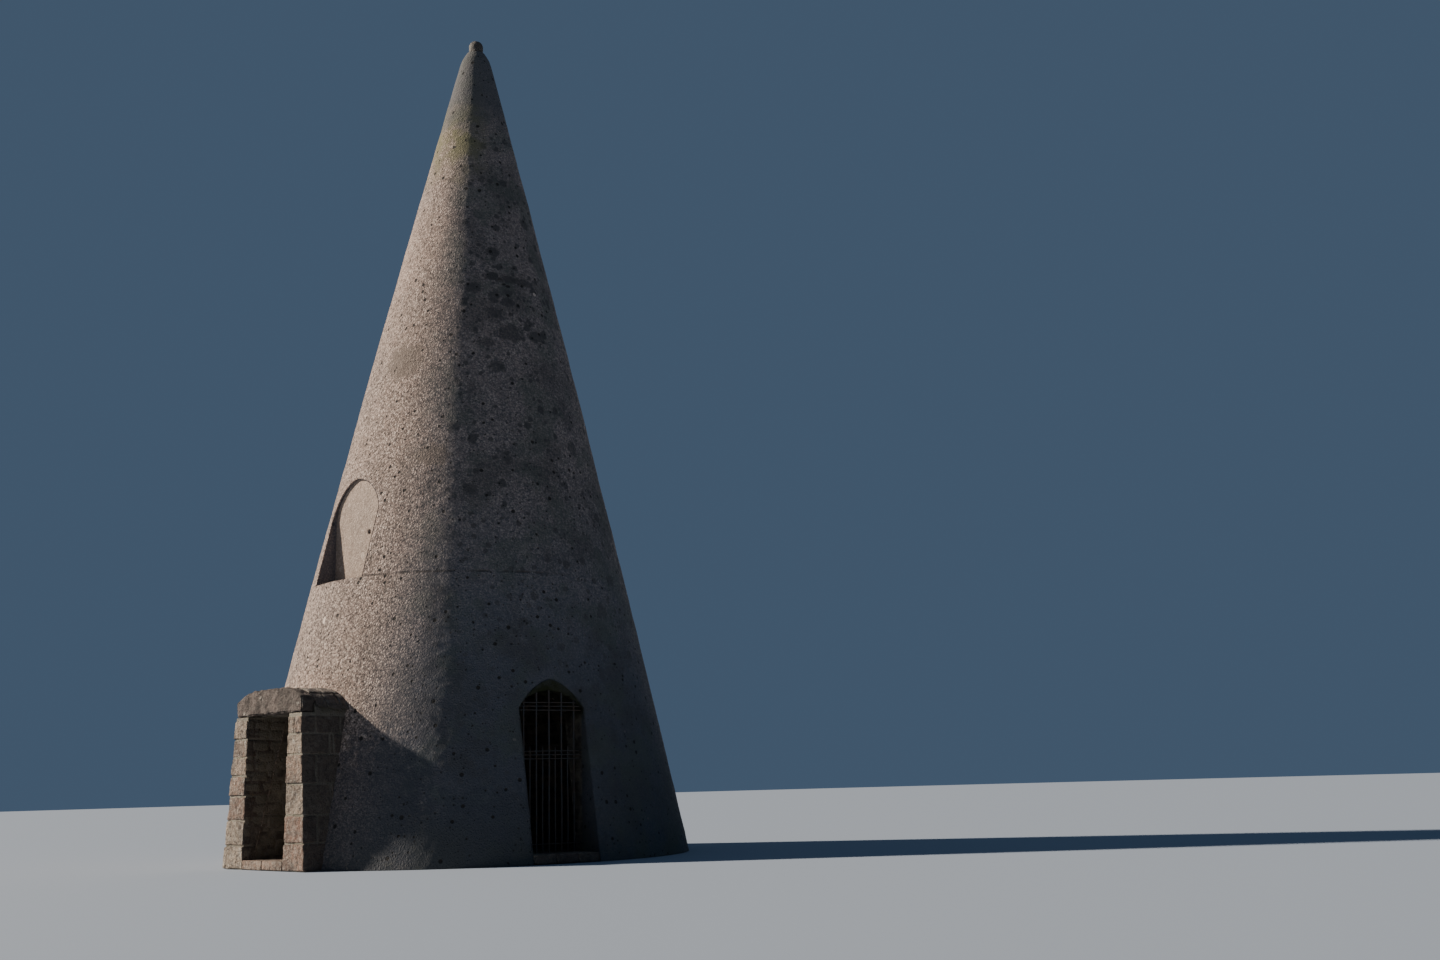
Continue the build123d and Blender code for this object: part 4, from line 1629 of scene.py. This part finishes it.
@dataclass
class Porch:
    """Low stone porch: coursed jambs and side walls, a rough lintel and a ragged stone roof."""

    front: float = -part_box("porch_lintel")[0].y
    head_half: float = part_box("porch_lintel")[1].x
    base_half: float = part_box("porch_jamb_right")[1].x
    door_half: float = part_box("porch_jamb_right")[0].x
    spring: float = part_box("porch_lintel")[0].z
    lintel_top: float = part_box("porch_lintel")[1].z
    lintel_back: float = -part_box("porch_lintel")[1].y
    eave_half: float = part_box("porch_capping")[1].x
    wall_back: float = 2.14
    head_flat: float = 0.28
    lintel_end: float = 1.80
    eave_end: float = 1.685
    roof_inset: float = 0.012
    roof_relief: float = 0.004
    capping: float = 0.045
    capping_joint: float = 0.004
    slab_sink: float = 0.002
    ragged: float = 0.045
    slant: float = 0.03
    mortar_sink: float = 0.016
    front_sink: float = 0.023
    gap: float = 0.006
    right_courses: Series = (0.0, 0.285, 0.57, 0.893, 1.2, 1.415, 1.607)
    left_courses: Series = (0.0, 0.25, 0.52, 0.78, 1.0, 1.2, 1.4, 1.607)
    corner_joints: Span = (2.54, 2.372)
    wall_joints: Span = (2.325, 2.24)
    split: tuple[Span, Span] = ((0.0, 0.47), (0.485, 1.0))
    outer_leaf: Span = (0.62, 1.0)
    slab_edges: Series = (-0.52, -0.28, 0.02, 0.3, 0.55)
    slab_rows: tuple[Series, ...] = ((2.10, 2.31, 2.538), (2.12, 2.36, 2.53), (2.08, 2.24, 2.40, 2.536))
    rubble: Rubble = Rubble(course=0.115, length=0.21, joint=0.02, depth=0.02, seed=9)

    def outer_half(self, height: Array) -> Array:
        """Half width of the battered outside at a height."""
        return self.base_half + (self.head_half - self.base_half) * height / self.spring

    def laid(self, bed: Bed) -> Place:
        """Map from a unit cube to a bed, by shares of its thickness, depth and height."""

        def place(unit: Array) -> Array:
            """Share the bed out over the cube."""
            ranges = enumerate((bed.across, bed.deep, bed.up))
            across, deep, height = (low + (high - low) * unit[..., axis] for axis, (low, high) in ranges)
            half = self.door_half + (self.outer_half(height) - self.door_half) * across
            return np.stack([bed.side * half, -deep, height], axis=-1)

        return place

    def add_block(self, shell: Shell, bed: Bed, seed: int) -> None:
        """Add the block that fills one bed."""
        thick = (bed.across[1] - bed.across[0]) * (float(self.outer_half(bed.up[0])) - self.door_half)
        size = (thick, bed.deep[1] - bed.deep[0], bed.up[1] - bed.up[0])
        tone = float(hashed(np.array([seed, bed.side, 0.0]), 19))
        Block(self.laid(bed), size, tone, seed, step=0.02, radius=0.014, wear=0.013).add(shell)

    def build_stones(self, side: int) -> Piece:
        """Build the squared stones of one side.

        The corner blocks are short and long by turns, so the upright joint behind them steps
        from course to course. Smaller blocks run from there to the tower. The top corner block
        on the right is split in two.
        """
        shell = Shell(("tone",))
        right = side > 0
        courses = self.right_courses if right else self.left_courses
        for i, (low, high) in enumerate(pairwise(courses)):
            up = (low, high - self.gap)
            corner = self.corner_joints[(i + 2 - right) % 2]
            parts = self.split if right and i == len(courses) - 2 else ((0.0, 1.0),)
            for n, across in enumerate(parts):
                front = self.front - 0.005 * ((i + n) % 3)
                self.add_block(shell, Bed(side, across, (corner, front), up), 10 * i + 3 + right + 40 * n)
            inner = self.wall_joints[(i + 1 - right) % 2]
            for n, (back, fore) in enumerate(pairwise((self.wall_back, inner, corner))):
                bed = Bed(side, self.outer_leaf, (back, fore - self.gap), up)
                self.add_block(shell, bed, 100 + 20 * i + n)
        return shell.finish("porch_stones_right" if right else "porch_stones_left")

    def build_core(self, side: int) -> Piece:
        """Build the mortar core of one side, with rubble on its face to the doorway."""
        shell = Shell(RUBBLE_MARKS)
        depth = np.linspace(self.wall_back, self.front - self.front_sink, 30)[None, :]
        height = np.linspace(0.0, self.spring, 84)[:, None]
        depth, height = np.broadcast_arrays(depth, height)
        sunk, tone, joint = self.rubble.lay(depth, height)
        ripple = 0.003 * noise(flat_places(depth, height), 0.06, 2, 97)
        outside = self.outer_half(height) - self.mortar_sink + ripple
        near = np.stack([side * (self.door_half + sunk), -depth, height], axis=-1)
        far = np.stack([side * outside, -depth, height], axis=-1)
        shell.close_slab(shell.add(near, lining=1.0, tone=tone, joint=joint), shell.add(far))
        return shell.finish("porch_core_right" if side > 0 else "porch_core_left")

    def shoulder(self, across: Array, half: float, end: float) -> Array:
        """Top of the porch's head: flat in the middle, then a round shoulder down to each end.

        The shoulder is the circle that leaves the flat level and passes through the end. Its
        radius is the squared run plus the squared drop, over twice the drop.

        Args:
            across: Distances from the middle.
            half: Half width at the ends.
            end: Height of the ends.

        Returns:
            Height for each distance.
        """
        run = half - self.head_flat
        drop = self.lintel_top - end
        radius = (run**2 + drop**2) / (2.0 * drop)
        past = np.clip(np.abs(across) - self.head_flat, 0.0, run)
        return self.lintel_top - radius + np.sqrt(radius**2 - past**2)

    def roof_line(self, across: Array) -> Array:
        """Top of the capping, which falls away to low eaves."""
        return self.shoulder(across, self.eave_half, self.eave_end)

    def build_lintel(self) -> Piece:
        """Build the lintel as one rough block with rounded shoulders."""
        shell = Shell(("tone",))

        def place(unit: Array) -> Array:
            """Stretch each upright of the cube from the underside to the shoulder line."""
            across = self.head_half * (2.0 * unit[..., 0] - 1.0)
            depth = self.lintel_back + (self.front - self.lintel_back) * unit[..., 1]
            top = self.shoulder(across, self.head_half, self.lintel_end)
            height = self.spring + (top - self.spring) * unit[..., 2]
            return np.stack([across, -depth, height], axis=-1)

        size = (2.0 * self.head_half, self.front - self.lintel_back, self.lintel_top - self.spring)
        Block(place, size, 0.35, 5, step=0.017, radius=0.03, wear=0.03).add(shell)
        return shell.finish("porch_lintel_stone")

    def build_roof(self) -> Piece:
        """Build the roof's mass between the lintel and the tower, with an uneven underside."""
        shell = Shell(RUBBLE_MARKS)
        half = self.head_half - self.roof_inset
        across = np.linspace(-half, half, 70)[None, :]
        depth = np.linspace(self.wall_back, self.lintel_back - 0.001, 22)[:, None]
        across, depth = np.broadcast_arrays(across, depth)
        flat = flat_places(across, depth)
        top = self.roof_line(across) - self.capping - self.roof_relief * (1.0 + noise(flat, 0.12, 2, 31))
        sunk = self.roof_relief * (1.0 + noise(flat, 0.15, 3, 33)) * (np.abs(across) < self.door_half)
        upper = shell.add(np.stack([across, -depth, top], axis=-1))
        shell.close_slab(upper, shell.add(np.stack([across, -depth, self.spring + sunk], axis=-1)))
        return shell.finish("porch_roof_mass")

    def bedded(self, start: float, end: float, back: float, fore: float, thick: float) -> Place:
        """Map from a unit cube to a slab of the capping, between two offsets and two distances out."""

        def place(unit: Array) -> Array:
            """Lay the slab under the roof line, with a slant on the outer edge at the eaves."""
            slant = self.slant * (unit[..., 1] - 0.5) * (abs(end) > self.slab_edges[-1])
            across = start + (end - start - slant) * unit[..., 0]
            depth = back + (fore - back) * unit[..., 1]
            top = self.roof_line(across) - self.slab_sink
            return np.stack([across, -depth, top - thick * (1.0 - unit[..., 2])], axis=-1)

        return place

    def build_capping(self) -> Piece:
        """Build the capping: thin slabs bedded side by side over the roof, ragged at the eaves."""
        shell = Shell(("tone",))
        edges = (-self.eave_half, *self.slab_edges, self.eave_half)
        last = len(edges) - 2
        for i, (left, right) in enumerate(pairwise(edges)):
            stops = self.slab_rows[i % len(self.slab_rows)]
            for n, (back, fore) in enumerate(pairwise(stops)):
                draw = [float(hashed(np.array([i, n, k]), 29)) for k in range(3)]
                start = left + self.ragged * draw[0] * (i == 0)
                end = right - self.ragged * draw[1] * (i == last)
                thick = self.capping * (0.72 + 0.24 * draw[2])
                place = self.bedded(start, end, back, fore, thick)
                size = (end - start, fore - back - self.capping_joint, thick)
                Block(place, size, draw[0], 200 + 10 * i + n, step=0.025, radius=0.012, wear=0.011).add(shell)
        return shell.finish("porch_capping_slabs")


@dataclass
class Grille:
    """Fixed iron grille: pierced rails, long bars and short pointed dog bars."""

    cut: Opening
    form: TowerForm
    plane: float = 2.1649
    floor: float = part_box("ground_floor")[1].z
    bar: float = 0.0095
    bar_gap: float = 0.152
    bar_lap: float = 0.006
    bars: int = 5
    dog: float = 0.0075
    dog_top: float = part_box("grille_dog_bars")[1].z
    dog_point: float = 0.05
    blunt: float = 0.14
    rail_thick: float = 0.012
    rail_deep: float = 0.038
    rail_pitch: float = 0.041
    top_rail: float = 1.618
    middle_rail: float = 1.093
    bottom_rail: float = 0.19
    section_points: int = 16
    roundness: float = 0.35

    def ring(self, half: float, other: float) -> Array:
        """Section of a forged bar: a superellipse, near to a rectangle with rounded corners."""
        turn = full_turn(self.section_points) + math.pi / self.section_points
        shape = np.stack([np.cos(turn), np.sin(turn)], axis=1)
        return np.sign(shape) * np.abs(shape) ** self.roundness * np.array([half, other])

    def add_bar(self, shell: Shell, across: Array, deep: Array, height: Array) -> None:
        """Add a swept bar with closed ends, from its sections in the grille's plane."""
        across, deep, height = np.broadcast_arrays(across, deep, height)
        index = shell.add(self.cut.placed(self.plane + deep, across, height))
        shell.wrap(index)
        shell.polygons += [index[0][::-1].tolist(), index[-1].tolist()]

    def add_upright(
        self, shell: Shell, offset: float, half: float, top: float, seed: int, point: float = 0.0
    ) -> None:
        """Add an upright bar that wavers slightly.

        Its half width shrinks by a noise along it, as hammering leaves it, and over the length
        of its point by the distance to the top.

        Args:
            shell: The mesh.
            offset: Offset from the middle.
            half: Half width.
            top: Height of the top.
            seed: Chooses the noise.
            point: Length of the point, or 0 for a blunt end.
        """
        end = top - max(point, 0.02)
        height = np.concatenate([np.linspace(self.floor, end, 46), np.linspace(end, top, 9)[1:]])
        line = flat_places(height, np.full_like(height, seed))
        taper = np.ones_like(height)
        if point:
            taper = np.where(height > end, np.maximum((top - height) / point, self.blunt), 1.0)
        hammered = 1.0 - 0.10 * (1.0 + noise(line, 0.07, 2, seed)) * 0.5
        section = self.ring(half, half)[None, :, :] * (taper * hammered)[:, None, None]
        across = offset + section[..., 0] + 0.002 * noise(line, 0.5, 1, seed)[:, None]
        deep = section[..., 1] + 0.002 * noise(line, 0.5, 1, seed + 1)[:, None]
        self.add_bar(shell, across, deep, height[:, None])

    def add_rail(self, shell: Shell, level: float, holes: Sequence[Span], seed: int) -> None:
        """Add a flat rail, swollen where each upright goes through it.

        Args:
            shell: The mesh.
            level: Height of its middle.
            holes: Offset and half width of each upright.
            seed: Chooses the noise.
        """
        half = self.half_at(level)
        across = np.linspace(-half, half, 90)
        swell = sum(0.35 * bell(across - offset, 1.6 * width) for offset, width in holes)
        line = flat_places(across, np.full_like(across, seed))
        section = self.ring(self.rail_deep / 2.0, self.rail_thick / 2.0)[None, :, :]
        deep = section[..., 0] * (0.86 + 0.4 * swell)[:, None]
        rise = section[..., 1] * (1.0 - 0.05 * (1.0 + noise(line, 0.1, 2, seed)))[:, None]
        rise = rise + level + 0.0015 * noise(line, 0.4, 1, seed)[:, None]
        self.add_bar(shell, across[:, None], deep, rise)

    def half_at(self, level: float) -> float:
        """Half width of the opening at the grille's plane."""
        arc = self.cut.arc(self.cut.crown, self.cut.bulge)
        return float(np.interp(level, arc[:, 1], arc[:, 0]))

    def build(self) -> dict[str, Piece]:
        """Build each group of the grille's iron as one piece, by the node that it stands for."""
        offsets = [(i - (self.bars - 1) / 2.0) * self.bar_gap for i in range(self.bars)]
        dogs = [(a + b) / 2.0 for a, b in pairwise(offsets)]
        arc = self.cut.arc(self.cut.crown, self.cut.bulge)
        long_bars = Shell()
        for i, offset in enumerate(offsets):
            top = float(np.interp(-abs(offset), -arc[:, 0], arc[:, 1])) + self.bar_lap
            self.add_upright(long_bars, offset, self.bar, top, 300 + i)
        dog_bars = Shell()
        for i, offset in enumerate(dogs):
            self.add_upright(dog_bars, offset, self.dog, self.dog_top, 320 + i, self.dog_point)
        made = {"grille_bars": long_bars.finish("iron_bars")}
        made["grille_dog_bars"] = dog_bars.finish("iron_dog_bars")
        through = [(offset, self.bar) for offset in offsets]
        both = through + [(offset, self.dog) for offset in dogs]
        groups = (
            ("top_rails", self.top_rail, 3, through),
            ("middle_rails", self.middle_rail, 3, both),
            ("bottom_rail", self.bottom_rail, 1, both),
        )
        for name, level, count, holes in groups:
            shell = Shell()
            for i in range(count):
                self.add_rail(shell, level + i * self.rail_pitch, holes, 340 + i)
            made["grille_" + name] = shell.finish("iron_" + name)
        return made


@dataclass
class Floor:
    """Flagged floor inside the tower, and the worn threshold stones of both openings."""

    form: TowerForm
    top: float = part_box("ground_floor")[1].z
    front: float = -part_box("doorway_threshold")[0].y
    gap: float = 0.004
    rings: int = 69
    sides: int = 192
    face_sink: float = 0.006
    stone_joint: float = 0.002
    rubble: Rubble = Rubble(course=0.42, length=0.55, joint=0.03, depth=0.012, proud=0.006, seed=15)

    @property
    def radius(self) -> float:
        """Radius of the hollow at the floor."""
        return float(self.form.hollow_radius(0.05))

    def build(self) -> Piece:
        """Build the floor: flags laid in rows over a disc, sunk at the joints."""
        shell = Shell(RUBBLE_MARKS)
        reach = np.linspace(0.0, 1.0, self.rings + 1)[1:] * (self.radius - self.gap)
        ring, angle = np.meshgrid(reach, full_turn(self.sides), indexing="ij")
        flat = about_axis(ring, angle, np.zeros_like(ring))
        sunk, tone, joint = self.rubble.lay(flat[..., 0], flat[..., 1])
        wave = 0.003 * (1.0 + noise(flat, 0.4, 3, 17))
        face = shell.add(about_axis(ring, angle, self.top - sunk - wave), lining=1.0, tone=tone, joint=joint)
        rim = shell.add(flat[-1:], lining=1.0)
        shell.close_round(np.concatenate([face, rim]), self.top - self.face_sink, 0.0, lining=1.0, tone=0.5)
        return shell.finish("floor_flags")

    def build_threshold(self, cut: Opening, count: int, name: str, outer: float = 0.0) -> Piece:
        """Build a threshold as a row of worn stones across the opening.

        Args:
            cut: The opening.
            count: How many stones lie side by side.
            name: Name of the piece.
            outer: Distance of its outer edge from the axis, or 0 where it follows the face.

        Returns:
            The threshold.
        """
        shell = Shell(("tone",))
        inner = math.sqrt(self.radius**2 - cut.half_width**2)
        edges = np.linspace(-cut.half_width, cut.half_width, count + 1)
        for n, (left, right) in enumerate(pairwise(edges)):

            def place(unit: Array, left: float = left, right: float = right) -> Array:
                """Run the stone from the hollow to the outer edge."""
                across = left + (right - left) * unit[..., 0]
                back = np.sqrt(self.radius**2 - across**2)
                height = self.top * unit[..., 2]
                face = np.sqrt(self.form.face_radius(height) ** 2 - across**2) - self.face_sink
                reach = np.full_like(across, outer) if outer else face
                return cut.placed(back + (reach - back) * unit[..., 1], across, height)

            size = (right - left - self.stone_joint, (outer or 2.6) - inner, self.top)
            tone = float(hashed(np.array([n, count, 7.0]), 43))
            Block(place, size, tone, 400 + 10 * count + n, step=0.04, radius=0.012, wear=0.008).add(shell)
        return shell.finish(name)


@dataclass
class Studio:
    """Pale floor, light from the left and the camera of the photograph."""

    azimuth: float = -36.5
    distance: float = 18.106
    eye: float = 0.787
    pan: float = 9.98
    tilt: float = 11.863
    roll: float = -1.558
    lens: float = 36.0
    sensor: float = 36.0
    far: float = 500.0
    sun_azimuth: float = -141.0
    sun_height: float = 29.0
    sun_power: float = 7.4
    sun_spread: float = 2.0
    sun_colour: Colour = (1.0, 0.92, 0.81)
    sky_power: float = 0.15
    sky: Colour = (0.40, 0.63, 1.0)
    paper: Colour = (0.31, 0.35, 0.41)
    paper_roughness: float = 0.9
    paper_level: float = -0.004
    paper_rings: Series = (4.0, 12.0, 40.0, 120.0)
    paper_sides: int = 96

    def build_camera(self) -> None:
        """Place the camera: turned by the pan from the axis, then tilted up, then rolled."""
        pan, tilt, roll, turn = (math.radians(a) for a in (self.pan, self.tilt, self.roll, self.azimuth))
        data = bpy.data.cameras.new("photo_camera")
        data.lens = self.lens
        data.sensor_width = self.sensor
        data.clip_end = self.far
        camera = add_object("photo_camera", data)
        camera.matrix_world = (
            Matrix.Rotation(turn, 4, "Z")
            @ Matrix.Translation((self.distance, 0.0, self.eye))
            @ Matrix.Rotation(math.pi / 2.0 - pan, 4, "Z")
            @ Matrix.Rotation(math.pi / 2.0 + tilt, 4, "X")
            @ Matrix.Rotation(roll, 4, "Z")
        )
        bpy.context.scene.camera = camera

    def build_light(self) -> None:
        """Add a broad key light from the left and an even sky."""
        data = bpy.data.lights.new("key_light", "SUN")
        data.energy = self.sun_power
        data.angle = math.radians(self.sun_spread)
        data.color = self.sun_colour
        lamp = add_object("key_light", data)
        x, y, _ = heading(self.sun_azimuth)
        rise = math.radians(self.sun_height)
        towards = Vector((x * math.cos(rise), y * math.cos(rise), math.sin(rise)))
        lamp.rotation_euler = towards.to_track_quat("Z", "Y").to_euler()
        world = bpy.data.worlds.new("studio")
        world.use_nodes = True
        background = world.node_tree.nodes["Background"]
        background.inputs["Color"].default_value = (*self.sky, 1.0)
        background.inputs["Strength"].default_value = self.sky_power
        bpy.context.scene.world = world

    def build_floor(self) -> None:
        """Add the pale floor as a wide disc whose rim fades into the background's distance."""
        shell = Shell()
        ring, angle = np.meshgrid(np.array(self.paper_rings), full_turn(self.paper_sides), indexing="ij")
        index = shell.add(about_axis(ring, angle, np.full_like(ring, self.paper_level)))
        tip = shell.add(np.array([[0.0, 0.0, self.paper_level]]))
        shell.wrap(index)
        shell.fan(index[0], int(tip[0]))
        floor = shell.finish("studio_floor")
        material = bpy.data.materials.new("studio_floor")
        material.use_nodes = True
        shader = material.node_tree.nodes["Principled BSDF"]
        shader.inputs["Base Color"].default_value = (*self.paper, 1.0)
        shader.inputs["Roughness"].default_value = self.paper_roughness
        floor.data.materials.append(material)


@dataclass
class Folly:
    """The whole folly: its openings, its lifts of wall and everything built on them."""

    effects: Effects
    form: TowerForm = TowerForm()
    doorway: Opening = Opening(
        azimuth=-90.0, half_width=0.425, foot=0.0, spring=1.635, crown=1.74, bulge=0.022, bare=2.0
    )
    grille: Opening = Opening(
        azimuth=-13.3, half_width=0.39, foot=0.0, spring=1.64, crown=1.83, bulge=0.045,
        splay_crown=2.18, splay_bulge=0.008, splay_inner=2.1744, splay_outer=2.2649, moss=1.0,
    )
    # The recess's reveal takes painted shade at a share of 0.7.
    recess: Opening = Opening(
        azimuth=-91.0, half_width=0.5, foot=3.175, spring=4.0, crown=4.42, bulge=0.1, bare=0.0, painted_reveal_shade=0.7
    )

    def lifts(self) -> dict[str, WallLift]:
        """Lifts of the wall by the prefix of the nodes that each stands for."""
        cuts = {
            "lower_wall": (self.doorway, self.grille),
            "second_wall": (self.doorway, self.grille),
            "recess_wall": (self.recess,),
            "upper_wall": (),
            "spire_wall": (),
        }
        made = {}
        low = 0.0
        for prefix, openings in cuts.items():
            high = self.form.hollow_top if prefix == "spire_wall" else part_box(prefix + "_left")[1].z
            made[prefix] = WallLift(prefix + "_lift", low, high, self.form, openings)
            low = high
        return made

    def build_tower(self) -> None:
        """Build the wall, its point, the cap and the recess's back."""
        roughcast = RoughcastFinish(self.effects, self.form.face_radius).material()
        for prefix, lift in self.lifts().items():
            nodes = sorted(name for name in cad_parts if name.startswith(prefix))
            present(lift.build(), Slot.ROUGHCAST, roughcast, *nodes)
        top = SpireTop(self.form)
        present(top.build(), Slot.ROUGHCAST, roughcast, "spire_top")
        grey = ((0.20, 0.185, 0.16), (0.30, 0.28, 0.25))
        cap = StoneFinish(self.effects, "cap_stone", *grey, lichen_share=0.5)
        present(top.build_cap(), Slot.CAP, cap.material(), "cap_stone")
        render = RenderFinish(self.effects).material()
        present(RecessPanel(self.recess, self.form).build(), Slot.RECESS, render, "recess_panel")

    def build_porch(self) -> None:
        """Build the porch."""
        porch = Porch()
        blocks = StoneFinish(self.effects, "porch_sandstone", stain=0.58).material()
        mortar = MortarFinish(self.effects, "porch_mortar", (0.34, 0.30, 0.235), rubble=(0.265, 0.23, 0.17))
        core = mortar.material()
        for side, word in ((-1, "left"), (1, "right")):
            nodes = (f"porch_jamb_{word}", f"porch_side_wall_{word}")
            present(porch.build_stones(side), Slot.PORCH, blocks, *nodes)
            present(porch.build_core(side), Slot.PORCH, core, *nodes)
        lintel = StoneFinish(
            self.effects, "lintel_stone", (0.135, 0.10, 0.086), (0.215, 0.168, 0.142),
            lichen_share=0.22, grains=0.1, stain=0.8,
        )
        present(porch.build_lintel(), Slot.LINTEL, lintel.material(), "porch_lintel")
        roof = MortarFinish(self.effects, "roof_mortar", moss_share=0.5)
        present(porch.build_roof(), Slot.ROOF, roof.material(), "porch_roof")
        brown = ((0.23, 0.19, 0.165), (0.36, 0.30, 0.255))
        slabs = StoneFinish(self.effects, "capping_stone", *brown, stain=0.4)
        present(porch.build_capping(), Slot.ROOF, slabs.material(), "porch_capping")

    def build_inside(self) -> None:
        """Build the floor, the thresholds and the grille."""
        floor = Floor(self.form)
        flags = MortarFinish(self.effects, "floor_flags", base=(0.25, 0.22, 0.18), rubble=(0.17, 0.14, 0.11))
        present(floor.build(), Slot.FLOOR, flags.material(), "ground_floor")
        worn = StoneFinish(self.effects, "threshold_stone", lichen_share=0.15, stain=0.5).material()
        sill = floor.build_threshold(self.doorway, 2, "doorway_sill", floor.front)
        present(sill, Slot.FLOOR, worn, "doorway_threshold")
        present(floor.build_threshold(self.grille, 3, "grille_sill"), Slot.FLOOR, worn, "grille_threshold")
        iron = IronFinish(self.effects).material()
        for node, piece in Grille(self.grille, self.form).build().items():
            present(piece, Slot.IRON, iron, node)


def main() -> None:
    """Build the folly and its studio."""
    logging.basicConfig(level=logging.INFO, format="%(name)s %(message)s")
    folly = Folly(Effects())
    folly.build_tower()
    folly.build_porch()
    folly.build_inside()
    studio = Studio()
    studio.build_floor()
    studio.build_light()
    studio.build_camera()


if __name__ == "__main__":
    main()
